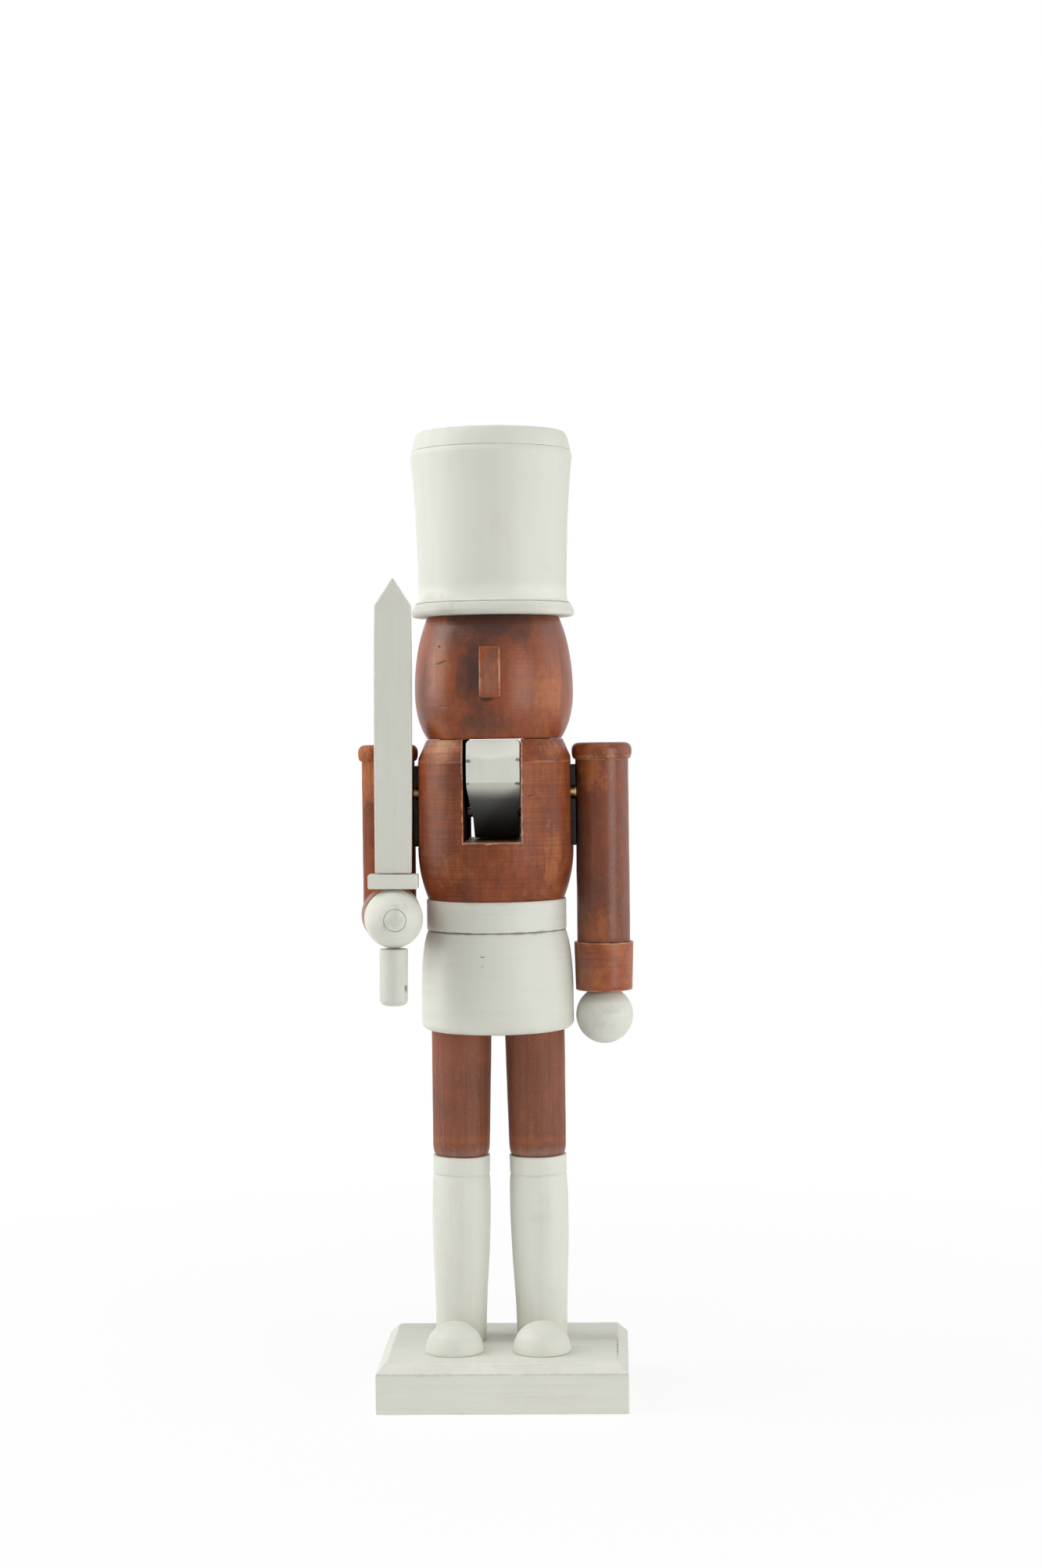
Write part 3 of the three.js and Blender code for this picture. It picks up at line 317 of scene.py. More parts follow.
class SwordSizes(bpy.types.PropertyGroup):
    """Blade, guard and grip"""

    lean: turn("Lean", "How far the sword leans toward the head", 0.6)
    blade_width: length("Blade width", "Blade at guard and shoulder", 14)
    blade_swell: length("Blade swell", "How far each edge swells", 0.3)
    swell_height: length("Swell height", "Height of the fullest part", 78.5)
    blade_length: length("Blade length", "From the guard to the point's shoulder", 103.7)
    point: length("Point", "Height of the point", 10.8)
    blade_thickness: length("Blade thickness", "Thickness of the plank", 5)
    guard_width: length("Guard width", "Across the blade", 19.2)
    guard_depth: length("Guard depth", "Front to back", 10)
    guard_height: length("Guard height", "Thickness of the bar", 5.6)
    grip_radius: length("Grip radius", "Rod below the hand", 5.5)
    grip_length: length("Grip length", "Rod below the hand", 22)
    grip_round: length("Grip rounding", "Rounded end of the grip", 2.5)
    edge_bevel: length("Edge bevel", "Rounding of the edges", 0.6)


class FittingSizes(bpy.types.PropertyGroup):
    """Pads and pins of the shoulders"""

    pad_corner: length("Pad corner", "Rounding of a pad's corners", 3)
    pad_edge: length("Pad edge", "Rounding along a pad's edges", 0.25)
    pad_swell: length("Pad swell", "How far a pad fills the gap to its arm", 0.34)
    pad_press: length("Pad press", "How far a pad fills the gap to the torso", 0.25)
    pin_radius: length("Pin radius", "Shoulder pin", 2.5)
    pin_gap: length("Pin gap", "Room round the pin in a pad's notch", 0.25)


class StageSettings(bpy.types.PropertyGroup):
    """Camera, floor and light"""

    eye_round: turn("Eye round", "How far round to the right of the soldier the camera stands", 2.6)
    eye_distance: length("Eye distance", "From the camera to the soldier's axis", 1035)
    eye_height: length("Eye height", "Camera's height", 263.4)
    aside: turn("Aside", "How far the camera looks to the right of the soldier", 0.575)
    tilt: turn("Tilt", "How far the camera looks down", 1.168)
    roll: turn("Roll", "How far the camera leans", -0.72)
    lens: FloatProperty(name="Lens", description="Focal length", default=59.42, unit="CAMERA")
    floor_white: share("Floor white", "Share of plain white in the floor under the soldier", 0.85)
    floor_reach: length("Floor reach", "Where the floor becomes plain white", 500)
    floor_drop: length("Floor drop", "Gap that keeps the floor off the base's underside", 0.1)
    floor_colour: colour("Floor", "Pale floor and backdrop", (0.93, 0.93, 0.93))
    sky: FloatProperty(name="Sky", description="Even light from all round", default=0.18, min=0)
    left_light: power("Left light", "Soft lamp at the left", 12.2)
    right_light: power("Right light", "Soft lamp at the right", 3)
    top_light: power("Top light", "Soft lamp overhead", 4)
    front_light: power("Front light", "Soft lamp at the front right", 6.6)


def settings():
    return bpy.context.scene.nutcracker


class Outline:
    """The side of a turned piece, drawn as radius and height."""

    def __init__(self, radius, height):
        self.points = [Vector((radius, 0, height))]

    def line(self, radius, height):
        start, end = self.points[-1], Vector((radius, 0, height))
        steps = max(1, round((end - start).length / OUTLINE_STEP))
        self.points += [start.lerp(end, step / steps) for step in range(1, steps + 1)]
        return self

    def bend(self, via_radius, via_height, radius, height):
        start, via, end = self.points[-1], Vector((via_radius, 0, via_height)), Vector((radius, 0, height))
        for step in range(1, CURVE_STEPS + 1):
            way = step / CURVE_STEPS
            self.points.append(start.lerp(via, way).lerp(via.lerp(end, way), way))
        return self

    def arc(self, middle_radius, middle_height, radius, start, end):
        for step in range(1, CURVE_STEPS + 1):
            angle = math.radians(start + (end - start) * step / CURVE_STEPS)
            across, up = radius * math.cos(angle), radius * math.sin(angle)
            self.points.append(Vector((middle_radius + across, 0, middle_height + up)))
        return self


def rod(radius, low, high):
    """The outline of a plain rod."""
    return Outline(0, low).line(radius, low).line(radius, high).line(0, high)


def tidy(bm):
    bmesh.ops.remove_doubles(bm, verts=bm.verts, dist=MERGE_DISTANCE)
    bmesh.ops.recalc_face_normals(bm, faces=bm.faces)
    return bm


def turned(outline, facets, ring=False):
    """A piece turned about Z from its outline. A ring's outline closes on itself."""
    bm = bmesh.new()
    verts = [bm.verts.new(point) for point in outline.points]
    ends = verts[1:] + verts[:1] if ring else verts[1:]
    edges = [bm.edges.new(pair) for pair in zip(verts, ends)]
    bmesh.ops.spin(
        bm, geom=verts + edges, cent=(0, 0, 0), axis=(0, 0, 1), angle=math.tau, steps=facets, use_merge=True
    )
    return tidy(bm)


def extruded(points, way):
    """A flat outline drawn out into a block."""
    bm = bmesh.new()
    face = bm.faces.new([bm.verts.new(point) for point in points])
    drawn = bmesh.ops.extrude_face_region(bm, geom=[face])["geom"]
    far = [element for element in drawn if isinstance(element, bmesh.types.BMVert)]
    bmesh.ops.translate(bm, verts=far, vec=way)
    return tidy(bm)


def sawn(points, thickness):
    """A board sawn to a side outline in the Y-Z plane, with its thickness along X."""
    return extruded([(-thickness / 2, y, z) for y, z in points], (thickness, 0, 0))


def upright(corners, low, high):
    """A block with an outline in the X-Y plane."""
    return extruded([(x, y, low) for x, y in corners], (0, 0, high - low))


def block(low, high):
    bm = bmesh.new()
    bmesh.ops.create_cube(bm, size=1)
    bmesh.ops.scale(bm, vec=high - low, verts=bm.verts)
    bmesh.ops.translate(bm, vec=(low + high) / 2, verts=bm.verts)
    return bm


def moved(bm, matrix):
    bmesh.ops.transform(bm, matrix=matrix, verts=bm.verts)
    return bm


def scratch(bm):
    mesh = bpy.data.meshes.new("scratch")
    bm.to_mesh(mesh)
    bm.free()
    scrap = bpy.data.objects.new("scratch", mesh)
    bpy.context.scene.collection.objects.link(scrap)
    return scrap


def cut_away(bm, *tools):
    """A shape with the tools' shapes cut out of it."""
    whole = scratch(bm)
    cutters = [scratch(tool) for tool in tools]
    for cutter in cutters:
        cut = whole.modifiers.new("Cut", "BOOLEAN")
        cut.object, cut.operation, cut.solver = cutter, "DIFFERENCE", "EXACT"
    shaped = whole.evaluated_get(bpy.context.evaluated_depsgraph_get())
    rest = bmesh.new()
    rest.from_mesh(shaped.to_mesh())
    shaped.to_mesh_clear()
    for scrap in [whole, *cutters]:
        bpy.data.meshes.remove(scrap.data)
    return tidy(rest)


def sliced(bm, point, away):
    """A shape cut off flat at a plane, closed again there."""
    everything = bm.verts[:] + bm.edges[:] + bm.faces[:]
    cut = bmesh.ops.bisect_plane(bm, geom=everything, plane_co=point, plane_no=away, clear_outer=True)
    rim = [element for element in cut["geom_cut"] if isinstance(element, bmesh.types.BMEdge)]
    bmesh.ops.edgeloop_fill(bm, edges=rim)
    return tidy(bm)


def bevelled(bm, edges, size, segments):
    return bmesh.ops.bevel(
        bm, geom=edges, offset=size, offset_type="OFFSET", segments=segments, profile=0.5, affect="EDGES",
        clamp_overlap=True, material=-1,
    )["faces"]


def softened(bm, size=None, angle=CREASE_ANGLE, worn=1):
    """Rounds every crease as sanding does, and marks how worn the rounding is."""
    wear = bm.loops.layers.float.get(WEAR_LAYER) or bm.loops.layers.float.new(WEAR_LAYER)
    creases = [edge for edge in bm.edges if edge.is_manifold and edge.calc_face_angle(0) > angle]
    rounding = settings().finish.edge_round if size is None else size
    for face in bevelled(bm, creases, rounding, SOFT_SEGMENTS):
        for loop in face.loops:
            loop[wear] = worn
    return bm


def sanded(bm):
    """Leaves a surface slightly uneven, as hand sanding does."""
    finish = settings().finish
    bm.normal_update()
    for vert in bm.verts:
        vert.co += vert.normal * noise.noise(vert.co / finish.uneven_span) * finish.unevenness
    return bm


def lathed(outline, facets, place, size=None, worn=1):
    """A turned piece with softened edges and a sanded surface, set in its place."""
    return moved(sanded(softened(turned(outline, facets), size, worn=worn)), place)


def piece(name, bm, body, slot, material, *nodes, flat_sides=False):
    """Makes a shape a finished piece that rides on a body and stands for its solids."""
    mesh = bpy.data.meshes.new(name)
    if not bm.loops.layers.float.get(WEAR_LAYER):
        bm.loops.layers.float.new(WEAR_LAYER)
    bm.to_mesh(mesh)
    bm.free()
    mesh.shade_smooth()
    mesh.set_sharp_from_angle(angle=SHARP_ANGLE)
    mesh.materials.append(bpy.data.materials[material])
    made = bpy.data.objects.new(name, mesh)
    bpy.context.scene.collection.objects.link(made)
    if flat_sides:
        made.modifiers.new("Flat sides", "WEIGHTED_NORMAL").keep_sharp = True
    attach(made, body)
    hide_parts(*nodes)
    return made


class Mark:
    """A stained, rubbed or scratched place, or a patch of painted shade or painted highlight: its middle from
    a piece's foot, half spans and tilt.
    """

    def __init__(self, node, tint, amount, middle, spans, tilt=(0, 0, 0), ragged=0.35, soft=0.8):
        self.middle = Vector((0, settings().base.setback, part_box(node)[0].z)) + Vector(map(mm, middle))
        self.spans = [mm(span) for span in spans]
        self.tilt = [math.radians(part) for part in tilt]
        self.tint, self.amount, self.ragged, self.soft = tint, amount, ragged, soft


def add_node(tree, kind, inputs=(), **facts):
    """A new node with its facts set and its inputs linked or filled in."""
    node = tree.nodes.new(kind)
    for fact, value in facts.items():
        setattr(node, fact, value)
    for socket, value in dict(inputs).items():
        if isinstance(value, bpy.types.NodeSocket):
            tree.links.new(value, node.inputs[socket])
        else:
            node.inputs[socket].default_value = value
    return node


class Finish:
    """A material in the making, with short ways to add its nodes."""

    def __init__(self, name, **sockets):
        self.material = bpy.data.materials.new(name)
        self.material.use_nodes = True
        self.tree = self.material.node_tree
        self.shader = self.tree.nodes["Principled BSDF"]
        self.place = self.add("ShaderNodeTexCoord").outputs["Object"]
        for socket, value in sockets.items():
            self.shader.inputs[socket.replace("_", " ")].default_value = value

    def add(self, kind, inputs=(), **facts):
        return add_node(self.tree, kind, inputs, **facts)

    def pattern(self, spans, detail=3, roughness=0.55, distortion=0, shift=(0, 0, 0)):
        """Noise whose patches span so many millimetres along X, Y and Z."""
        scale = [1 / mm(span) for span in spans]
        mapping = self.add("ShaderNodeMapping", {"Vector": self.place, "Scale": scale, "Location": shift})
        made = self.add(
            "ShaderNodeTexNoise",
            {"Vector": mapping.outputs[0], "Scale": 1, "Detail": detail, "Roughness": roughness,
             "Distortion": distortion},
        )
        return made.outputs["Fac"]

    def ramp(self, value, low, high, start=0, end=1):
        made = self.add(
            "ShaderNodeMapRange",
            {"Value": value, "From Min": low, "From Max": high, "To Min": start, "To Max": end},
            interpolation_type="SMOOTHSTEP",
        )
        return made.outputs[0]

    def maths(self, operation, first, second):
        return self.add("ShaderNodeMath", {0: first, 1: second}, operation=operation).outputs[0]

    def mix(self, amount, under, over):
        return self.add("ShaderNodeMix", {0: amount, 6: under, 7: over}, data_type="RGBA").outputs[2]

    def lay(self, under, pattern, low, high, amount, tint, least=0):
        """Lays a tint over a surface where a pattern is high."""
        return self.mix(self.ramp(pattern, low, high, least, amount), under, tint)

    def wear(self, low, high, end=1):
        edge = self.add("ShaderNodeAttribute", attribute_name=WEAR_LAYER).outputs["Fac"]
        patches = self.pattern((5, 5, 5), detail=5, roughness=0.65)
        return self.maths("MULTIPLY", self.maths("MULTIPLY", edge, end), self.ramp(patches, low, high))

    def patch(self, mark):
        """How strongly a mark covers the surface: full about its middle, gone past its spans."""
        local = self.add(
            "ShaderNodeMapping",
            {"Vector": self.place, "Location": mark.middle, "Rotation": mark.tilt, "Scale": mark.spans},
            vector_type="TEXTURE",
        )
        far = self.add("ShaderNodeVectorMath", {0: local.outputs[0]}, operation="LENGTH").outputs["Value"]
        rough = self.pattern((5, 5, 6), detail=6, roughness=0.7, distortion=0.3)
        edge = self.maths("ADD", far, self.ramp(rough, 0.25, 0.75, -mark.ragged, mark.ragged))
        return self.ramp(edge, 1 - mark.soft, 1, mark.amount, 0)

    def level(self, axis):
        return self.add("ShaderNodeSeparateXYZ", {0: self.place}).outputs[axis]

    def relief(self, *layers):
        """Bump from several heights, each with its depth in millimetres."""
        normal = None
        for height, depth in layers:
            inputs = {"Height": height, "Distance": mm(depth), "Strength": 1}
            if normal:
                inputs["Normal"] = normal
            normal = self.add("ShaderNodeBump", inputs).outputs[0]
        self.tree.links.new(normal, self.shader.inputs["Normal"])

    def set(self, socket, value):
        self.tree.links.new(value, self.shader.inputs[socket])


def solid(tint, light=1):
    """A colour that covers fully, dimmed or brightened by its light."""
    return (*(light * part for part in tint), 1)


def painted(name, strokes, streaks=0.12, marks=(), tone=1):
    """Brushed off-white paint: strokes, thin places that show the undercoat, marks and rubbed edges."""
    tints = settings().finish
    made = Finish(name, Specular_IOR_Level=0.35)
    brush = made.pattern(strokes, detail=6, roughness=0.68)
    clouds = made.pattern((26, 26, 30), detail=3)
    thin = made.pattern((13, 13, 17), detail=5, distortion=0.6, shift=(3, 5, 7))
    specks = made.pattern((1.1, 1.1, 1.3), detail=2)
    shaded = made.lay(solid(tints.paint, tone), clouds, 0.35, 0.7, 0.1, solid(tints.paint, CLOUD_LIGHT))
    stroked = made.lay(shaded, brush, 0.45, 0.75, streaks, solid(tints.paint, STROKE_LIGHT))
    warmed = made.lay(stroked, thin, 0.56, 0.78, 0.16, solid(tints.paint_warm))
    surface = made.lay(warmed, specks, 0.74, 0.8, 0.25, solid(tints.paint, SPECK_LIGHT))
    for mark in marks:
        surface = made.mix(made.patch(mark), surface, solid(getattr(tints, mark.tint)))
    worn = made.mix(made.wear(0.42, 0.66, 0.35), surface, solid(tints.paint_warm))
    made.set("Base Color", worn)
    made.set("Roughness", made.ramp(brush, 0.3, 0.7, 0.42, 0.58))
    made.relief((brush, 0.05), (thin, 0.06))
    return made, worn


def paint_jaw(name, strokes):
    """The paint of the lever, nicked at its corners, with painted shade, near black, from under the chin to
    the pin.
    """
    lever = settings().jaw
    chin = joint_place("jaw_hinge").z + lever_chin()
    made, paint = painted(name, strokes, marks=jaw_marks())
    # Painted shade: below the chin and ahead of the handle the lever turns near black, as the slot's shade
    # would make it.
    below = made.ramp(made.level("Z"), chin - lever.chin_shade_height, chin - lever.chin_shade_edge, 1, 0)
    before = made.ramp(made.level("Y"), lever.chin_shade_back, lever.chin_shade_back + lever.chin_shade_fade, 1, 0)
    black = made.maths("MULTIPLY", below, before)
    made.set("Base Color", made.mix(black, paint, solid(settings().finish.chin_painted_shade)))


def jaw_marks():
    """A painted highlight on the lip, whose slope faces up to the light, and nicks at the corners of lip and
    chin.
    """
    # Painted highlight on the lip's upward slope.
    marks = [Mark("torso", "paint_light", 0.9, (0, -27, 60), (16, 8, 5.5), ragged=0.1, soft=0.3)]
    for side in (LEFT, RIGHT):
        for height in (55.3, 46.3):
            corner = (side * 10 + 0.5, -30, height)
            marks.append(Mark("torso", "paint_dirt", 0.9, corner, (1.6, 3, 0.9), ragged=0.6, soft=0.6))
    return marks


def hat_marks():
    """A painted highlight on the foot of the crown, whose flare faces up to the light, and painted shade on
    the downward-facing brim below it, deepest at its left.
    """
    return [
        # Painted highlight where the crown's flare faces up.
        Mark("hat_crown", "paint_light", 0.6, (0, 0, 2.5), (ALL_ROUND, ALL_ROUND, 6), ragged=0.15),
        # Painted shade on the brim, which faces down and away from the light; the second patch darkens its
        # left end.
        Mark("hat_brim", "paint_dirt", 0.13, (0, -32, 2), (30, 20, 4.5), ragged=0.2, soft=0.5),
        Mark("hat_brim", "paint_dirt", 0.2, (-26, -20, 2), (18, 18, 8), ragged=0.2, soft=0.4),
    ]


def hand_marks():
    """Grain that shows grey through the paint of both hands."""
    return [
        Mark("straight_hand", "paint_dirt", 0.12, (45, -10, 13), (9, 8, 2.5), ragged=0.9),
        Mark("straight_hand", "paint_dirt", 0.1, (41, -10, 7), (8, 8, 2.5), ragged=0.9),
        Mark("sword_hand", "paint_dirt", 0.14, (-37, -46, 11), (6, 8, 5), ragged=1),
    ]


def sword_marks():
    """A nick at the side of the grip."""
    return [Mark("sword_grip", "paint_dirt", 0.8, (-34, -36, 6.8), (0.7, 3, 2), ragged=0.5)]


def skirt_marks():
    """Two small knots on the coat, undercoat along its lower edge and under the belt."""
    return [
        Mark("skirt", "paint_dirt", 0.6, (-4.6, -29.5, 30.7), (1.2, 3, 0.4), ragged=0.5),
        Mark("skirt", "paint_dirt", 0.6, (-4.6, -29.5, 27), (1.2, 3, 0.4), ragged=0.5),
        Mark("skirt", "paint_warm", 0.15, (0, 0, 0), (ALL_ROUND, ALL_ROUND, 2), ragged=0.6),
        Mark("skirt", "paint_dirt", 0.4, (0, 0, 39.6), (ALL_ROUND, ALL_ROUND, 0.7), ragged=0.7),
        Mark("belt", "paint_warm", 0.45, (0, 0, 12.1), (ALL_ROUND, ALL_ROUND, 1.2), ragged=0.6),
    ]


def boot_marks():
    """Painted shade in the groove, and undercoat round the top of the boots."""
    return [
        # Painted shade in the groove under the band.
        Mark("left_boot", "paint_dirt", 0.06, (0, 0, 66.8), (ALL_ROUND, ALL_ROUND, 0.8), ragged=0.5),
        Mark("left_boot", "paint_warm", 0.25, (0, 0, 74.2), (ALL_ROUND, ALL_ROUND, 1), ragged=0.5),
        Mark("left_boot", "paint_warm", 0.2, (0, -10, 3), (ALL_ROUND, ALL_ROUND, 6), ragged=0.5),
        Mark("left_boot", "paint_dirt", 0.06, (16, -11, 51), (6, 4, 3), ragged=0.7),
    ]


def base_marks():
    """Grime on the chamfers and along the lower edge of the block, and a crack at its right."""
    return [
        Mark("base", "paint_dirt", 0.22, (0, -42, 15.4), (ALL_ROUND, 4, 0.5), ragged=0.6),
        Mark("base", "paint_dirt", 0.08, (12, -40, 17.5), (16, 6, 3), ragged=0.5),
        Mark("base", "paint_dirt", 0.07, (-20, -40, 17.5), (18, 6, 3), ragged=0.5),
        Mark("base", "paint_dirt", 0.9, (46.4, -16, 19.8), (0.5, 22, 2), ragged=0.4),
    ]


def leg_marks():
    """A dry film, thicker round the foot of the upper legs, under a thin rubbed line."""
    return [
        Mark("left_leg", "dry_film", 0.15, (0, 0, 40), (ALL_ROUND, ALL_ROUND, 90), ragged=0.2),
        Mark("left_leg", "stain_worn", 0.25, (0, 0, 18.5), (ALL_ROUND, ALL_ROUND, 2), ragged=0.6),
        Mark("left_leg", "dry_film", 0.6, (0, 0, 12), (ALL_ROUND, ALL_ROUND, 5), ragged=0.3, soft=1),
    ]


def arm_marks():
    """Shade and film on the side next to the torso, and stain rubbed thin at both ends of the arm."""
    return [
        # Painted shade on the side that faces the torso, which keeps the light from the left off it.
        Mark("straight_arm", "stain_dark", 0.65, (33, -6, 50), (10, 16, 60), soft=1),
        Mark("straight_arm", "dry_film", 0.25, (33, -6, 50), (10, 16, 60), soft=1),
        Mark("straight_arm", "stain_worn", 0.6, (36, -11, 91), (12, 8, 12), ragged=0.8),
        Mark("straight_arm", "stain_worn", 0.5, (38, -11, 24), (12, 10, 11), ragged=0.6, soft=1),
        Mark("straight_arm", "rubbed_edge", 0.5, (42.7, 0, 93.2), (40, 40, 0.8), ragged=0.9),
    ]


def sword_arm_marks():
    """Stain rubbed thin at the top of the sword arm."""
    return [
        Mark("sword_upper_arm", "rubbed_edge", 0.6, (-46, -4, 76.5), (9, 9, 2), ragged=0.9),
        Mark("sword_upper_arm", "stain_worn", 0.8, (-50, -6, 79), (10, 12, 8), ragged=0.8),
        Mark("sword_upper_arm", "stain_worn", 0.8, (-52, -6, 66), (12, 14, 16), ragged=0.4, soft=1),
    ]


def cuff_marks():
    """A dry film on the cuff's side next to the skirt."""
    return [Mark("straight_cuff", "dry_film", 0.4, (34, -6, 10), (9, 16, 20), soft=1)]


def head_marks():
    """Shade under the brim and about the nose, rubbed cheeks, scratches and a dent under the nose."""
    return [
        # Painted shadow of the brim across the top of the head.
        Mark("head", "stain_dark", 1, (1, -26, 49), (34, 24, 21), ragged=0.2, soft=0.8),
        # Painted shadow of the nose, to its left.
        Mark("head", "stain_dark", 1, (-7, -30, 25), (9, 10, 20), ragged=0.2, soft=0.9),
        # Painted shade under the nose.
        Mark("head", "stain_dark", 0.75, (-4, -32, 6), (15, 10, 11), ragged=0.3, soft=0.9),
        Mark("head", "stain_worn", 0.6, (-20, -22, 28), (9, 10, 14)),
        Mark("head", "stain_worn", 0.9, (22, -22, 18), (11, 12, 14), ragged=0.45, soft=1),
        Mark("head", "stain_worn", 0.5, (-21, -21, 5), (10, 10, 7)),
        Mark("head", "scratch", 0.9, (-1, -32, 15.8), (3, 4, 1.2), ragged=0.6),
        Mark("head", "scratch", 0.9, (-20.1, -22.2, 36.3), (0.6, 2, 0.6), ragged=0.1),
        Mark("head", "scratch", 0.7, (-19.2, -24, 29.9), (4.3, 3, 0.6), (0, -11, -37), ragged=0.1),
        Mark("head", "scratch", 0.5, (-18.6, -25, 12.9), (3, 3, 0.4), (0, 3, -37), ragged=0.1),
    ]


def nose_marks():
    """Rubbed sides, a dry film and a darker upper corner."""
    return [
        Mark("nose", "stain_dark", 0.5, (1, -36, 16), (3, 8, 5), soft=1),
        Mark("nose", "dry_film", 0.3, (0, -36, 8), (5, 8, 12), soft=0.6),
        Mark("nose", "rubbed_edge", 0.8, (3.8, -36, 10), (0.55, 8, 10), ragged=0.4),
        Mark("nose", "rubbed_edge", 0.45, (-3.9, -36, 10), (0.8, 8, 11), ragged=0.5),
    ]


def torso_marks():
    """Rubbed shoulders and lower coat, the left shoulder's slope also given a painted highlight where it
    faces up to the light, and a nick beside the slot.
    """
    return [
        # Partly rubbed wood, partly painted highlight on the left shoulder's slope, which faces up to the
        # light.
        Mark("torso", "stain_worn", 0.85, (-20, -20, 60), (14, 14, 6)),
        Mark("torso", "rubbed_edge", 0.6, (-20, -20, 61), (14, 14, 6), soft=1),
        Mark("torso", "stain_worn", 0.5, (-23, -20, 45), (8, 12, 24), ragged=0.3, soft=1),
        Mark("torso", "stain_dark", 0.6, (20, -19, 59), (12, 12, 6)),
        Mark("torso", "stain_worn", 0.9, (24, -18, 60), (7, 8, 5), ragged=0.5),
        Mark("torso", "stain_dark", 0.4, (22, -20, 36), (9, 10, 20)),
        Mark("torso", "stain_worn", 0.5, (-17, -25, 13), (13, 8, 10), ragged=0.6),
        Mark("torso", "stain_worn", 0.7, (23, -20, 15), (6, 8, 16), ragged=0.6),
        Mark("torso", "scratch", 0.6, (15.1, -27.2, 41.4), (2, 2, 0.35), (0, -8, 30), ragged=0.1),
    ]


def stained(
    name, grain, saw_lines=0, shade=0, deep=0.7, rubbing=0.55, rub_from=0.5, dull=0, gloss=0.36, marks=(),
    slot=False,
):
    """Reddish-brown stain in a thin varnish: grain, blotches, rubbed patches, marks and pale edges, with
    painted shade on the walls of a slot.
    """
    tints = settings().finish
    dark, worn, edge = solid(tints.stain_dark), solid(tints.stain_worn), solid(tints.rubbed_edge)
    made = Finish(name, Specular_IOR_Level=gloss)
    fibres = made.pattern(grain, detail=6, roughness=0.7)
    blotches = made.pattern((32, 32, 36), detail=4, distortion=0.6)
    rubbed = made.pattern((9, 9, 12), detail=7, roughness=0.72, distortion=0.5, shift=(4, 9, 2))
    pores = made.pattern([span * 0.4 for span in grain], detail=2, shift=(1, 1, 1))
    specks = made.pattern((0.9, 0.9, 1.3), detail=4, roughness=0.7, shift=(2, 6, 3))
    layers = [(fibres, 0.05), (rubbed, 0.08), (specks, 0.03)]
    surface = made.lay(solid(tints.stain), blotches, 0.35, 0.75, deep, dark, least=shade)
    surface = made.lay(surface, rubbed, rub_from, rub_from + RUB_FADE, rubbing, worn)
    surface = made.lay(surface, specks, 0.5, 0.75, 0.45, worn)
    for mark in marks:
        cover = made.patch(mark)
        surface = made.mix(cover, surface, solid(getattr(tints, mark.tint)))
        if mark.tint == "scratch":
            layers.append((made.maths("SUBTRACT", 1, cover), 0.4))
    if saw_lines:
        lines = made.pattern((90, 90, 0.8), detail=2)
        surface = made.lay(surface, lines, 0.4, 0.65, saw_lines, dark)
        layers.append((lines, 0.08))
    surface = made.lay(surface, fibres, 0.42, 0.68, 0.35, dark)
    surface = made.lay(surface, pores, 0.66, 0.78, 0.15, solid(tints.stain_dark, PORE_LIGHT))
    surface = made.mix(made.wear(0.36, 0.6, 0.85), surface, edge)
    if slot:
        # Painted shade: the walls within the slot take the near-black scratch colour and lose their gloss.
        slot_shade = slot_painted_shade(made)
        surface = made.mix(slot_shade, made.mix(slot_wear(made), surface, edge), solid(tints.scratch))
        made.set("Specular IOR Level", made.ramp(slot_shade, 0, 1, gloss, 0))
    made.set("Base Color", surface)
    made.set("Roughness", made.ramp(rubbed, 0.3, 0.7, dull + 0.27, dull + 0.43))
    made.relief(*layers)


def slot_floor():
    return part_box("torso")[1].z - settings().trunk.slot_depth


def slot_wear(made):
    """The rubbed edges of the torso's slot, ragged along its floor."""
    trunk = settings().trunk
    ragged = made.pattern((4, 4, 3), detail=6, roughness=0.7)
    across = made.maths("ABSOLUTE", made.level("X"), 0)
    reach = made.maths("MULTIPLY", made.ramp(ragged, 0.3, 0.7, 0.3, 1.6), trunk.slot_edge)
    beside = made.maths("LESS_THAN", made.maths("SUBTRACT", across, trunk.slot_width / 2), reach)
    above = made.maths("GREATER_THAN", made.maths("ADD", made.level("Z"), reach), slot_floor())
    front = made.maths("LESS_THAN", made.level("Y"), 0)
    edges = made.maths("MULTIPLY", made.maths("MULTIPLY", beside, above), front)
    return made.maths("MULTIPLY", edges, made.ramp(ragged, 0.35, 0.6, 0.2, 0.75))


def slot_painted_shade(made):
    """The walls within the torso's slot, painted near black as the shade that falls in the slot."""
    across = made.maths("ABSOLUTE", made.level("X"), 0)
    between = made.maths("LESS_THAN", across, settings().trunk.slot_width / 2 + SLOT_SKIN)
    above = made.maths("GREATER_THAN", made.level("Z"), slot_floor() + SLOT_SKIN)
    return made.maths("MULTIPLY", between, above)


def fitted_materials():
    """Brass, steel, felt and bare wood, each with fine wisps."""
    tints = settings().finish
    for name, rough, metal in (
        ("brass", (0.28, 0.45), 1),
        ("steel", (0.3, 0.5), 1),
        ("felt", (0.9, 1), 0),
        ("bare_wood", (0.55, 0.75), 0),
    ):
        tint = getattr(tints, name)
        made = Finish(name, Metallic=metal)
        wisps = made.pattern((0.6, 0.6, 2.5), detail=4)
        made.set("Base Color", made.lay(solid(tint), wisps, 0.4, 0.75, 0.6, solid(tint, WISP_LIGHT)))
        made.set("Roughness", made.ramp(wisps, 0.3, 0.7, *rough))
        made.relief((wisps, 0.08))


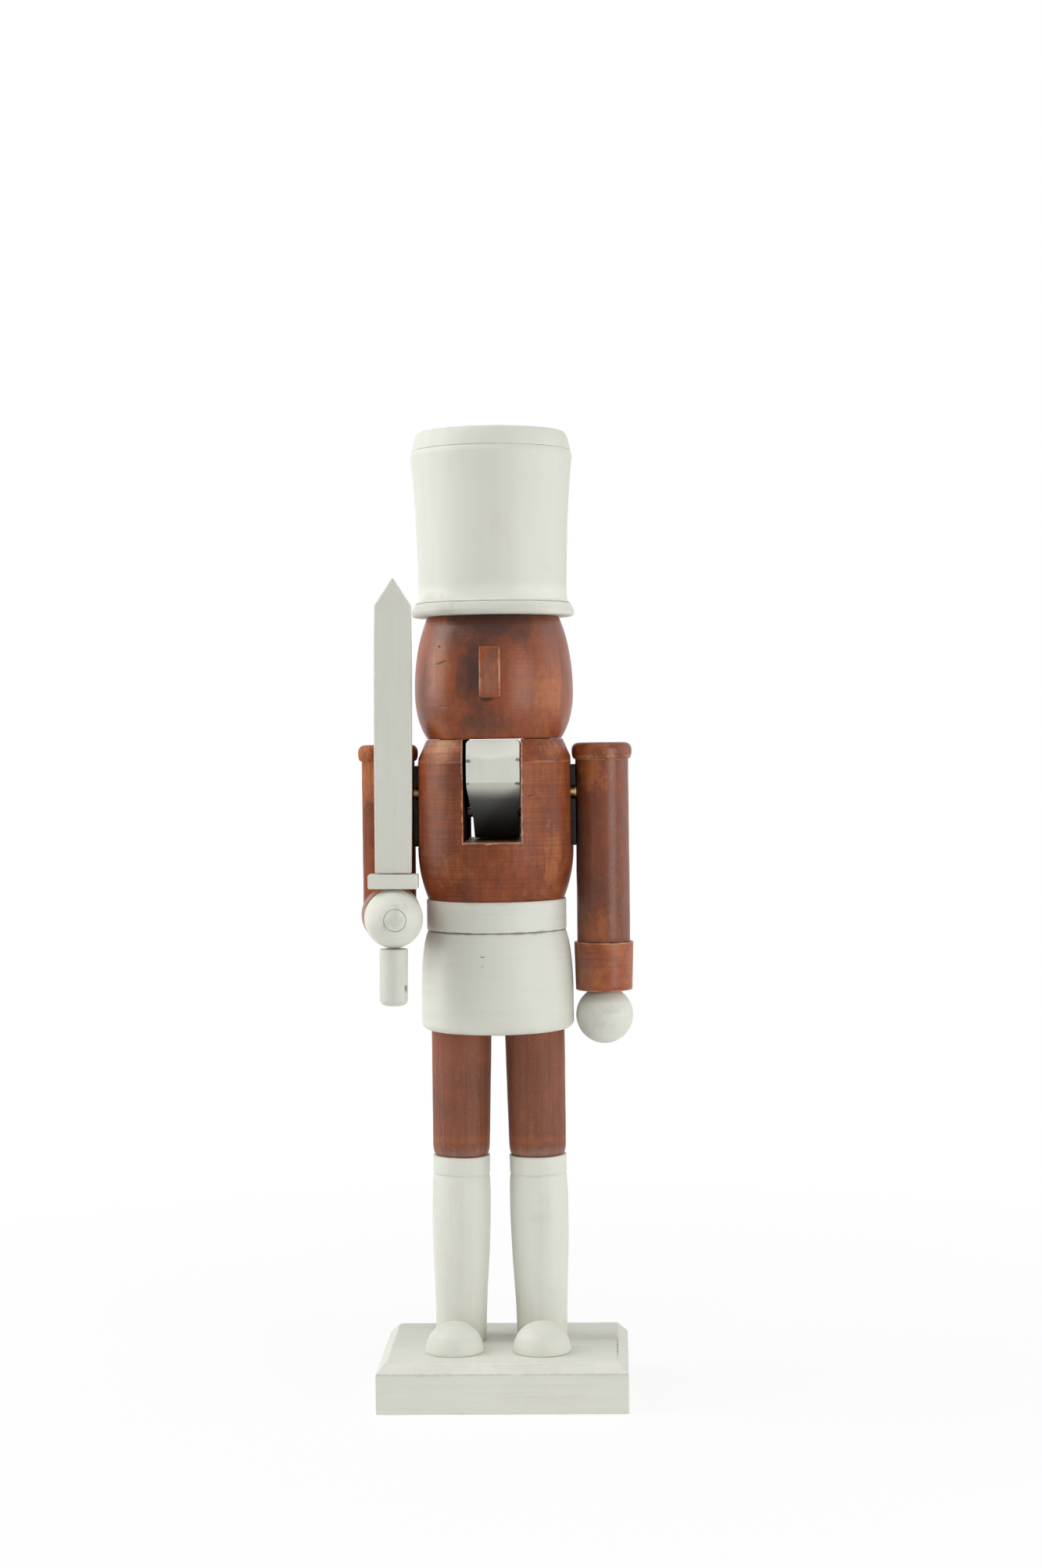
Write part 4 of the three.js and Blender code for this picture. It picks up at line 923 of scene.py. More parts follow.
class NUTCRACKER_OT_finishes(bpy.types.Operator):
    """Make the paint, stain, felt and metal"""

    bl_idname = "nutcracker.finishes"
    bl_label = "Finishes"

    def execute(self, context):
        round_strokes = (40, 40, 1.6)
        limb_grain, barrel_grain, forward_grain = (1.6, 1.6, 42), (2.2, 2.2, 30), (1.6, 42, 1.6)
        painted("paint_around", round_strokes, marks=hand_marks(), tone=1.03)
        painted("paint_hat", (5, 5, 60), streaks=0.07, marks=hat_marks())
        painted("paint_skirt", round_strokes, marks=skirt_marks())
        painted("paint_upright", (2, 2, 40), marks=sword_marks(), tone=0.96)
        painted("paint_boots", (2.5, 2.5, 40), marks=boot_marks(), tone=1.07)
        painted("paint_base", (50, 3, 1.4), streaks=0.17, marks=base_marks(), tone=1.07)
        paint_jaw("paint_jaw", (3, 12, 12))
        stained("stain_upright", limb_grain, shade=0.35, rubbing=0.35, marks=arm_marks())
        stained("stain_sword_arm", limb_grain, shade=0.2, dull=0.1, gloss=0.1, marks=sword_arm_marks())
        stained("stain_legs", limb_grain, shade=0.3, rubbing=0.25, dull=0.25, marks=leg_marks())
        stained("stain_head", barrel_grain, saw_lines=0.1, marks=head_marks())
        stained("stain_nose", limb_grain, marks=nose_marks())
        stained(
            "stain_torso", barrel_grain, saw_lines=0.34, dull=0.08, gloss=0.25, marks=torso_marks(), slot=True
        )
        stained("stain_across", (26, 26, 1.3), deep=0.3, rubbing=0.75, rub_from=0.42, marks=cuff_marks())
        stained("stain_forward", forward_grain, shade=0.3)
        fitted_materials()
        return {"FINISHED"}


class NUTCRACKER_OT_base(bpy.types.Operator):
    """Make the chamfered block"""

    bl_idname = "nutcracker.base"
    bl_label = "Base"

    def execute(self, context):
        sizes = settings().base
        low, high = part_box("base")
        bm = block(low, high)
        top = [edge for edge in bm.edges if all(vert.co.z > (low.z + high.z) / 2 for vert in edge.verts)]
        bevelled(bm, top, sizes.chamfer, 1)
        softened(bm)
        for axis in range(3):
            span = high[axis] - low[axis]
            away = Vector([float(axis == along) for along in range(3)])
            for cut in range(1, int(span / sizes.panel)):
                everything = bm.verts[:] + bm.edges[:] + bm.faces[:]
                place = low + away * cut * sizes.panel
                bmesh.ops.bisect_plane(bm, geom=everything, plane_co=place, plane_no=away)
        sanded(bm)
        for vert in bm.verts:
            vert.co.z = max(vert.co.z, low.z)
        piece("base_block", bm, FIGURE, "white_paint", "paint_base", "base", flat_sides=True)
        return {"FINISHED"}


def leg_frame(side):
    """The place of a boot's sole, turned so that the leg splays from hip to foot."""
    sizes = settings().legs
    axis = sizes.boot_height + sizes.seam + sizes.leg_length
    splay = math.asin((sizes.foot_spacing - sizes.hip_spacing) / 2 / axis)
    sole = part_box("base")[1].z + sizes.seam / 2 + sizes.sole_radius * math.sin(splay)
    place = Matrix.Translation((side * sizes.foot_spacing / 2, settings().base.setback, sole))
    return place @ Matrix.Rotation(-side * splay, 4, "Y")


def boot_outline(swell=0):
    sizes = settings().legs
    height, calf_height = sizes.boot_height, sizes.calf_height
    band_foot = height - sizes.band_height
    calf, sole, band = sizes.calf_radius + swell, sizes.sole_radius + swell, sizes.band_radius + swell
    outline = Outline(0, 0).line(sole, 0)
    outline.bend(sole, calf_height / 4, (sole + calf) / 2, calf_height / 2)
    outline.bend(calf, calf_height * 3 / 4, calf, calf_height)
    outline.bend(calf, band_foot - sizes.groove_lead, sizes.groove_radius + swell, band_foot)
    return outline.line(band, band_foot + sizes.groove_rise).line(band, height).line(0, height)


class NUTCRACKER_OT_legs(bpy.types.Operator):
    """Make the boots, toes and upper legs"""

    bl_idname = "nutcracker.legs"
    bl_label = "Legs"

    def execute(self, context):
        sizes = settings().legs
        base_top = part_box("base")[1].z
        for side, toe_turn in ((LEFT, sizes.left_toe_turn), (RIGHT, sizes.right_toe_turn)):
            name = SIDE_NAMES[side]
            place = leg_frame(side)
            boot = lathed(boot_outline(), LIMB_FACETS, place, sizes.edge_round, worn=0.15)
            piece(name + "_boot_turning", boot, FIGURE, "white_paint", "paint_boots", name + "_boot")
            limb = Outline(0, 0).line(sizes.leg_end_radius, 0)
            limb.bend(sizes.leg_foot_radius, 0, sizes.leg_foot_radius, sizes.leg_round)
            limb.line(sizes.leg_radius, sizes.leg_length).line(0, sizes.leg_length)
            knee = place @ Matrix.Translation((0, 0, sizes.boot_height + sizes.seam))
            upper = lathed(limb, LIMB_FACETS, knee)
            piece(name + "_leg_turning", upper, FIGURE, "red_brown_stain", "stain_legs", name + "_leg")
            ball = Outline(0, 0).line(sizes.toe_radius, 0).arc(0, 0, sizes.toe_radius, 0, 90)
            toe_foot = (side * sizes.foot_spacing / 2, settings().base.setback, base_top + sizes.seam / 2)
            toe = moved(turned(ball, LIMB_FACETS), Matrix.Translation((0, -sizes.toe_reach, 0)))
            moved(toe, Matrix.Translation(toe_foot) @ Matrix.Rotation(toe_turn, 4, "Z"))
            sunk = place @ Matrix.Translation((0, 0, -CUT_SPARE))
            toe = cut_away(toe, moved(turned(boot_outline(sizes.seam), LIMB_FACETS), sunk))
            softened(toe, sizes.toe_edge)
            piece(name + "_toe_ball", toe, FIGURE, "white_paint", "paint_around", name + "_toe")
        return {"FINISHED"}


class NUTCRACKER_OT_skirt(bpy.types.Operator):
    """Make the coat's skirt and the belt"""

    bl_idname = "nutcracker.skirt"
    bl_label = "Skirt and belt"

    def execute(self, context):
        sizes = settings().trunk
        radius, height, rounding = half_width("skirt"), tall("skirt"), sizes.skirt_round
        side = Outline(0, 0).line(radius - rounding, 0).arc(radius - rounding, rounding, rounding, -90, 0)
        side.line(radius, sizes.skirt_straight)
        side.bend(radius, sizes.skirt_curve, sizes.skirt_top_radius, height).line(0, height)
        skirt = lathed(side, WIDE_FACETS, at_foot("skirt"))
        piece("coat_skirt", skirt, FIGURE, "white_paint", "paint_skirt", "skirt")
        belt = lathed(rod(half_width("belt"), 0, tall("belt")), WIDE_FACETS, at_foot("belt"))
        piece("waist_belt", belt, FIGURE, "white_paint", "paint_skirt", "belt")
        return {"FINISHED"}


def trunk_foot():
    """The middle of the torso's underside: the torso's own box is cut flat at the sides."""
    return Vector((0, settings().base.setback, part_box("torso")[0].z))


def torso_radius():
    low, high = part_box("torso")
    return (high.y - low.y) / 2


class NUTCRACKER_OT_torso(bpy.types.Operator):
    """Make the slotted torso"""

    bl_idname = "nutcracker.torso"
    bl_label = "Torso"

    def execute(self, context):
        sizes = settings().trunk
        radius, height = torso_radius(), tall("torso")
        side = Outline(0, 0).line(sizes.waist_radius, 0)
        side.bend(radius, sizes.waist_curve, radius, sizes.waist_height)
        side.line(radius, height - sizes.shoulder_slope).line(sizes.neck_radius, height).line(0, height)
        reach, half = 2 * radius, sizes.slot_width / 2
        slot_low = Vector((-half, -reach, height - sizes.slot_depth))
        cuts = [block(slot_low, Vector((half, reach, reach + height)))]
        flat_foot = joint_place("hanging_shoulder").z - sizes.pad_flat_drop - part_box("torso")[0].z
        for side_sign in (LEFT, RIGHT):
            inner, outer = sorted((side_sign * sizes.pad_flat, side_sign * reach))
            cuts.append(block(Vector((inner, -reach, flat_foot)), Vector((outer, reach, reach + height))))
        bm = cut_away(sanded(softened(turned(side, WIDE_FACETS), worn=0.3)), *cuts)
        moved(softened(bm, sizes.slot_edge, SHARP_ANGLE), Matrix.Translation(trunk_foot()))
        piece("torso_barrel", bm, FIGURE, "red_brown_stain", "stain_torso", "torso", flat_sides=True)
        return {"FINISHED"}


def lever_top():
    """The jaw's top over its pin."""
    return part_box("torso")[1].z - settings().jaw.top_gap - joint_place("jaw_hinge").z


def lever_chin():
    """The chin's lower edge over the pin."""
    lever = settings().jaw
    return lever_top() - lever.slope_height - lever.face_height


def lever_outline():
    """The lever's side about its pin, as (Y, Z): chin, boss, handle, neck, mouth and lip."""
    lever = settings().jaw
    pin = joint_place("jaw_hinge")
    front = lever.chin_setback + settings().base.setback - torso_radius() - pin.y
    top = lever_top()
    slope_foot, chin = top - lever.slope_height, lever_chin()
    brow = front + lever.slope_setback
    mouth_back = brow + lever.top_depth
    handle_front = settings().base.setback + torso_radius() + lever.handle_gap - pin.y
    handle_back = handle_front + lever.handle_thickness
    handle_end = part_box("jaw_lever")[0].z - pin.z
    rounding = (lever.handle_thickness - lever.handle_slimming) / 2
    end_back = handle_back - lever.handle_slimming
    neck_foot = -lever.undercut
    boss = lever.boss_radius * math.sqrt(0.5)
    side = Outline(front, chin).bend(front / 2, 0, -boss, -boss)
    side.arc(0, 0, lever.boss_radius, -135, -90).line(handle_front - lever.handle_bend, neck_foot)
    side.bend(handle_front, neck_foot, handle_front, neck_foot - lever.handle_bend)
    side.line(handle_front, handle_end + rounding)
    side.arc(handle_front + rounding, handle_end + rounding, rounding, 180, 360)
    side.line(end_back, handle_end + rounding).line(handle_back, neck_foot - lever.handle_bend)
    side.bend(handle_back, lever.neck_rise, handle_front, lever.neck_rise).line(lever.boss_radius, lever.rise)
    side.bend(mouth_back / 2, lever.mouth_rise, mouth_back, top).line(brow, top).line(front, slope_foot)
    side.line(front, chin)
    distinct = [side.points[0]]
    for point in side.points[1:-1]:
        if (point - distinct[-1]).length > MERGE_DISTANCE:
            distinct.append(point)
    return [(point.x, point.z) for point in distinct]


def lever_waste(side, jaw_half):
    """What is sawn off one side of the lever, which narrows below the chin to its own width at the boss."""
    lever = settings().jaw
    ys, zs = zip(*lever_outline())
    front, back = min(ys) + lever.slope_setback, 2 * max(ys)
    own, outer = side * lever.lever_width / 2, side * 2 * jaw_half
    inner = [(side * jaw_half, front), (own, -lever.boss_radius), (own, back)]
    return upright(inner + [(outer, back), (outer, front)], 2 * min(zs), lever_chin())


def mouth_waste(side, jaw_half):
    """What is sawn off one side of the lever behind the jaw."""
    lever = settings().jaw
    ys, zs = zip(*lever_outline())
    mouth, back = min(ys) + lever.slope_setback + lever.top_depth, 2 * max(ys)
    own, outer = side * lever.lever_width / 2, side * 2 * jaw_half
    return upright([(own, mouth), (own, back), (outer, back), (outer, mouth)], 2 * min(zs), 2 * max(zs))


def lip_corner(side, jaw_half):
    """What is rounded off one upper corner of the lip, seen from the front."""
    rounding, top = settings().jaw.corner_round, lever_top()
    inner, low = jaw_half - rounding, top - rounding
    waste = Outline(inner, 2 * top).arc(inner, low, rounding, 90, 0)
    waste.line(2 * jaw_half, low).line(2 * jaw_half, 2 * top)
    board = sawn([(side * point.x, point.z) for point in waste.points], 4 * torso_radius())
    return moved(board, Matrix.Rotation(-RIGHT_ANGLE, 4, "Z"))


class NUTCRACKER_OT_jaw(bpy.types.Operator):
    """Make the lever of chin, mouth and handle"""

    bl_idname = "nutcracker.jaw"
    bl_label = "Jaw lever"

    def execute(self, context):
        lever = settings().jaw
        width = settings().trunk.slot_width - 2 * lever.side_gap
        hole = turned(rod(lever.pin_radius, -width, width), PIN_FACETS)
        moved(hole, Matrix.Rotation(RIGHT_ANGLE, 4, "Y"))
        cutters = (lever_waste, mouth_waste, lip_corner)
        waste = [cutter(side, width / 2) for cutter in cutters for side in (LEFT, RIGHT)]
        bm = cut_away(sawn(lever_outline(), width), *waste)
        bm = cut_away(softened(bm, lever.edge_bevel, SHARP_ANGLE, worn=0.4), hole)
        moved(bm, Matrix.Translation(joint_place("jaw_hinge") + Vector((lever.lean, 0, 0))))
        piece("jaw_and_handle", bm, JAW, "white_paint", "paint_jaw", "jaw_lever", flat_sides=True)
        return {"FINISHED"}


def head_outline(swell=0):
    sizes = settings().head
    radius, height = half_width("head") + swell, tall("head")
    side = Outline(0, 0).line(sizes.chin_radius + swell, 0)
    side.bend(radius, sizes.chin_curve, radius, sizes.widest_height)
    return side.bend(radius, sizes.brow_curve, sizes.brow_radius + swell, height).line(0, height)


class NUTCRACKER_OT_head(bpy.types.Operator):
    """Make the head and nose"""

    bl_idname = "nutcracker.head"
    bl_label = "Head"

    def execute(self, context):
        sizes = settings().head
        place = at_foot("head")
        head = lathed(head_outline(), WIDE_FACETS, place, worn=0)
        piece("head_barrel", head, FIGURE, "red_brown_stain", "stain_head", "head")
        low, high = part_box("nose")
        head_foot = foot("head")
        under, over = low.z - head_foot.z, high.z - head_foot.z
        face = -half_width("head")
        wedge = [(0, under), (face - sizes.nose_tip, under), (face - sizes.nose_bridge, over), (0, over)]
        nose = softened(sawn(wedge, high.x - low.x), sizes.nose_bevel, worn=0)
        nose = cut_away(nose, turned(head_outline(settings().legs.seam), WIDE_FACETS))
        moved(nose, place)
        piece("nose_block", nose, FIGURE, "red_brown_stain", "stain_nose", "nose", flat_sides=True)
        return {"FINISHED"}


class NUTCRACKER_OT_hat(bpy.types.Operator):
    """Make the hat's brim, crown and top"""

    bl_idname = "nutcracker.hat"
    bl_label = "Hat"

    def execute(self, context):
        sizes = settings().hat
        brim, thick = half_width("hat_brim"), tall("hat_brim")
        cove = sizes.crown_radius + sizes.flare
        side = Outline(0, 0).line(brim - sizes.brim_round, 0).bend(brim, 0, brim, sizes.brim_round)
        side.line(cove, thick).line(0, thick)
        bm = lathed(side, WIDE_FACETS, at_foot("hat_brim"), sizes.seam_round)
        piece("hat_brim_ring", bm, FIGURE, "white_paint", "paint_hat", "hat_brim")
        crown, top, height = half_width("hat_crown"), half_width("hat_top"), tall("hat_crown")
        side = Outline(0, 0).line(cove, 0).bend(sizes.crown_radius, 0, sizes.crown_radius, sizes.flare_height)
        side.bend(sizes.curve_radius, sizes.curve_height, crown, height - sizes.crown_round)
        side.line(top, height).line(0, height)
        bm = lathed(side, WIDE_FACETS, at_foot("hat_crown"), sizes.seam_round, worn=0)
        piece("hat_crown_turning", bm, FIGURE, "white_paint", "paint_hat", "hat_crown")
        seat, thick = -sizes.seam_round / 2, tall("hat_top")
        side = Outline(0, seat).line(top, seat)
        side.bend(sizes.top_radius + sizes.top_bulge, thick - sizes.top_bulge, sizes.top_radius, thick)
        bm = lathed(side.line(0, thick), WIDE_FACETS, at_foot("hat_top"), sizes.seam_round, worn=0)
        piece("hat_top_disc", bm, FIGURE, "white_paint", "paint_hat", "hat_top")
        return {"FINISHED"}


def arm_top(outline):
    """Adds the bead at the arm's top, measured from the shoulder pin."""
    sizes = settings().arms
    bead_foot = sizes.above_pin - sizes.bead_height
    bead, middle = sizes.bead_radius, bead_foot + sizes.bead_height / 2
    outline.line(sizes.radius, bead_foot).bend(bead, bead_foot, bead, middle)
    outline.bend(bead, sizes.above_pin, bead - sizes.bead_height / 2, sizes.above_pin)
    return outline.line(0, sizes.above_pin)


def cuff_shape(long, place):
    sizes = settings().arms
    side = Outline(0, 0).line(sizes.cuff_end_radius, 0).line(sizes.cuff_radius, long).line(0, long)
    return lathed(side, LIMB_FACETS, place)


def hand_shape():
    """A ball with a flat on top, bored for its dowel."""
    sizes = settings().arms
    bore = sizes.dowel_radius + sizes.dowel_gap
    flat = sizes.hand_radius - sizes.hand_flat
    low = -math.degrees(math.acos(bore / sizes.hand_radius))
    high = math.degrees(math.asin(flat / sizes.hand_radius))
    side = Outline(bore, flat).line(bore, -math.sqrt(sizes.hand_radius**2 - bore**2))
    ball = turned(side.arc(0, 0, sizes.hand_radius, low, high), LIMB_FACETS, ring=True)
    return softened(ball, sizes.dowel_gap, worn=0)


def dowel_shape():
    """The hand's dowel, its end domed like the ball."""
    sizes = settings().arms
    rim = -math.degrees(math.acos(sizes.dowel_radius / sizes.hand_radius))
    top = sizes.hand_radius - sizes.hand_flat + sizes.dowel_bite
    side = Outline(0, -sizes.hand_radius).arc(0, 0, sizes.hand_radius, -90, rim)
    side.line(sizes.dowel_radius, top).line(0, top)
    return softened(turned(side, LIMB_FACETS), sizes.dowel_gap, worn=0)


class NUTCRACKER_OT_hanging_arm(bpy.types.Operator):
    """Make the arm that hangs, with its cuff and hand"""

    bl_idname = "nutcracker.hanging_arm"
    bl_label = "Hanging arm"

    def execute(self, context):
        sizes = settings().arms
        shoulder = Matrix.Translation(joint_place("hanging_shoulder"))
        wrist_end = sizes.dowel_gap - sizes.below_pin
        limb = lathed(arm_top(Outline(0, wrist_end).line(sizes.radius, wrist_end)), LIMB_FACETS, shoulder)
        piece("hanging_limb", limb, HANGING_ARM, "red_brown_stain", "stain_upright", "straight_arm")
        cuff_foot = -sizes.below_pin - sizes.cuff_length
        cuff = cuff_shape(sizes.cuff_length, shoulder @ Matrix.Translation((0, 0, cuff_foot)))
        piece("hanging_cuff", cuff, HANGING_ARM, "red_brown_stain", "stain_across", "straight_cuff")
        hand_height = cuff_foot - sizes.seam - sizes.hand_radius + sizes.hand_flat
        wrist = shoulder @ Matrix.Translation((0, 0, hand_height))
        hand = moved(hand_shape(), wrist)
        piece("hanging_hand", hand, HANGING_ARM, "white_paint", "paint_around", "straight_hand")
        dowel = moved(dowel_shape(), wrist)
        piece(
            "hanging_hand_dowel", dowel, HANGING_ARM, "white_paint", "paint_upright", "straight_wrist_dowel"
        )
        return {"FINISHED"}


def elbow_frame():
    """The elbow's place, turned so that the forearm runs along its -Y."""
    sizes = settings().arms
    elbow = joint_place("sword_shoulder") - Vector((0, 0, sizes.elbow_drop))
    return Matrix.Translation(elbow) @ Matrix.Rotation(sizes.forearm_turn, 4, "Z")


def sword_hand_reach():
    """From the elbow to the cuff's back, to its front and to the middle of the sword hand."""
    sizes = settings().arms
    cuff_back = sizes.radius + 2 * sizes.seam
    cuff_front = cuff_back + sizes.sword_cuff_length
    return cuff_back, cuff_front, cuff_front + sizes.seam + sizes.hand_radius - sizes.hand_flat


class NUTCRACKER_OT_sword_arm(bpy.types.Operator):
    """Make the mitred arm that holds the sword, with its cuff and hand"""

    bl_idname = "nutcracker.sword_arm"
    bl_label = "Sword arm"

    def execute(self, context):
        sizes = settings().arms
        elbow = elbow_frame()
        mitre = Vector((0, math.sqrt(0.5), math.sqrt(0.5)))
        half_seam = mitre * sizes.seam / 2
        below = -sizes.elbow_drop - 2 * sizes.radius
        side = arm_top(Outline(0, below).line(sizes.radius, below))
        upper = moved(turned(side, LIMB_FACETS), Matrix.Translation((0, 0, sizes.elbow_drop)))
        upper = moved(sanded(softened(sliced(upper, half_seam, -mitre))), elbow)
        piece("sword_upper_limb", upper, SWORD_ARM, "red_brown_stain", "stain_sword_arm", "sword_upper_arm")
        cuff_back, cuff_front, reach = sword_hand_reach()
        side = rod(sizes.radius, -2 * sizes.radius, cuff_back - sizes.seam)
        fore = moved(turned(side, LIMB_FACETS), Matrix.Rotation(RIGHT_ANGLE, 4, "X"))
        fore = moved(sanded(softened(sliced(fore, -half_seam, mitre))), elbow)
        piece("sword_forelimb", fore, SWORD_ARM, "red_brown_stain", "stain_forward", "sword_forearm")
        backward = Matrix.Rotation(-RIGHT_ANGLE, 4, "X")
        cuff = cuff_shape(sizes.sword_cuff_length, elbow @ Matrix.Translation((0, -cuff_front, 0)) @ backward)
        piece("sword_cuff_ring", cuff, SWORD_ARM, "red_brown_stain", "stain_forward", "sword_cuff")
        wrist = elbow @ Matrix.Translation((0, -reach, 0)) @ backward
        hand = moved(hand_shape(), wrist)
        piece("sword_hand_ball", hand, SWORD_ARM, "white_paint", "paint_around", "sword_hand")
        dowel = moved(dowel_shape(), wrist)
        piece("sword_hand_dowel", dowel, SWORD_ARM, "white_paint", "paint_around", "sword_wrist_dowel")
        return {"FINISHED"}


class NUTCRACKER_OT_sword(bpy.types.Operator):
    """Make the sword's blade, guard and grip"""

    bl_idname = "nutcracker.sword"
    bl_label = "Sword"

    def execute(self, context):
        sizes, arms = settings().sword, settings().arms
        hand_middle = elbow_frame() @ Vector((0, -sword_hand_reach()[2], 0))
        hand = Matrix.Translation(hand_middle) @ Matrix.Rotation(sizes.lean, 4, "Y")
        guard_foot = arms.hand_radius + arms.seam
        half = Vector((sizes.guard_width / 2, sizes.guard_depth / 2, 0))
        low, high = Vector((0, 0, guard_foot)), Vector((0, 0, guard_foot + sizes.guard_height))
        guard = moved(softened(block(low - half, high + half), sizes.edge_bevel), hand)
        piece(
            "sword_guard_bar", guard, SWORD_ARM, "white_paint", "paint_around", "sword_guard", flat_sides=True
        )
        half_blade = sizes.blade_width / 2
        swell = half_blade + 2 * sizes.blade_swell
        edge = Outline(half_blade, 0).bend(swell, sizes.swell_height, half_blade, sizes.blade_length)
        edge.line(0, sizes.blade_length + sizes.point)
        across = [(point.x, point.z) for point in edge.points]
        plank = sawn(across + [(-x, z) for x, z in reversed(across[:-1])], sizes.blade_thickness)
        moved(plank, Matrix.Rotation(-RIGHT_ANGLE, 4, "Z"))
        above = Matrix.Translation((0, 0, guard_foot + sizes.guard_height + arms.seam))
        blade = moved(softened(plank, sizes.edge_bevel), hand @ above)
        piece(
            "sword_blade_plank", blade, SWORD_ARM, "white_paint", "paint_upright", "sword_blade",
            flat_sides=True,
        )
        rounding = sizes.grip_round
        side = Outline(0, -sizes.grip_length).line(sizes.grip_radius - rounding, -sizes.grip_length)
        side.arc(sizes.grip_radius - rounding, rounding - sizes.grip_length, rounding, -90, 0)
        side.line(sizes.grip_radius, 0).line(0, 0)
        below = Matrix.Translation((0, 0, -guard_foot))
        grip = lathed(side, LIMB_FACETS, hand @ below)
        piece("sword_grip_rod", grip, SWORD_ARM, "white_paint", "paint_upright", "sword_grip")
        return {"FINISHED"}


class NUTCRACKER_OT_fittings(bpy.types.Operator):
    """Make the shoulder pads and pins, and finish the dowels and screws"""

    bl_idname = "nutcracker.fittings"
    bl_label = "Fittings"

    def execute(self, context):
        sizes = settings().fittings
        for side, joint in ((LEFT, "sword_shoulder"), (RIGHT, "hanging_shoulder")):
            name, shoulder = SIDE_NAMES[side], joint_place(joint)
            across = Matrix.Rotation(RIGHT_ANGLE, 4, "Y")
            low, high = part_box(name + "_shoulder_pin")
            side_view = rod(sizes.pin_radius, low.x - shoulder.x, high.x - shoulder.x)
            pin = moved(softened(turned(side_view, PIN_FACETS)), Matrix.Translation(shoulder) @ across)
            piece(name + "_shoulder_rod", pin, FIGURE, "brass", "brass", name + "_shoulder_pin")
            low, high = (Vector(corner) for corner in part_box(name + "_shoulder_pad"))
            low.x -= sizes.pad_swell if side == LEFT else sizes.pad_press
            high.x += sizes.pad_press if side == LEFT else sizes.pad_swell
            pad = block(low, high)
            corners = [
                edge for edge in pad.edges if abs(edge.verts[0].co.x - edge.verts[1].co.x) > MERGE_DISTANCE
            ]
            bevelled(pad, corners, sizes.pad_corner, CORNER_SEGMENTS)
            notch = sizes.pin_radius + sizes.pin_gap
            room = Vector((high.x - low.x, notch, notch))
            middle = Vector(((low.x + high.x) / 2, shoulder.y, shoulder.z))
            hole = turned(rod(notch, -room.x, room.x), PIN_FACETS)
            moved(hole, Matrix.Translation(middle) @ across)
            way_in = block(
                middle - room - Vector((0, high.y - low.y, 0)), middle + Vector((room.x, 0, room.z))
            )
            pad = softened(cut_away(pad, hole, way_in), sizes.pad_edge)
            piece(name + "_shoulder_felt", pad, FIGURE, "black_felt", "felt", name + "_shoulder_pad")
        hidden = {
            "bare_wood": ["waist_dowel", "left_neck_dowel", "right_neck_dowel", "hat_dowel", "elbow_dowel"],
            "steel": ["left_base_screw", "right_base_screw", "jaw_pin"],
        }
        for material, nodes in hidden.items():
            for node in nodes:
                slots = frame["nodes"][node].data.materials
                slots.clear()
                slots.append(bpy.data.materials[material])
        return {"FINISHED"}


def white_for_camera(tree, light, near, reach):
    """Mixes a surface or sky with plain white for what the camera, gloss and glass see directly.

    The white's share grows from near, under the soldier, to all of it past the reach.
    """
    rays = add_node(tree, "ShaderNodeLightPath").outputs
    seen = rays["Is Camera Ray"]
    for ray in ("Is Glossy Ray", "Is Transmission Ray"):
        seen = add_node(tree, "ShaderNodeMath", {0: seen, 1: rays[ray]}, operation="MAXIMUM").outputs[0]
    place = add_node(tree, "ShaderNodeTexCoord").outputs["Object"]
    far = add_node(tree, "ShaderNodeVectorMath", {0: place}, operation="LENGTH").outputs["Value"]
    grown = add_node(tree, "ShaderNodeMapRange", {"Value": far, "From Max": reach, "To Min": near}).outputs[0]
    amount = add_node(tree, "ShaderNodeMath", {0: seen, 1: grown}, operation="MULTIPLY").outputs[0]
    kind = "ShaderNodeBackground" if light.type == "BACKGROUND" else "ShaderNodeEmission"
    white = add_node(tree, kind, {"Color": WHITE}).outputs[0]
    return add_node(tree, "ShaderNodeMixShader", {0: amount, 1: light.outputs[0], 2: white}).outputs[0]


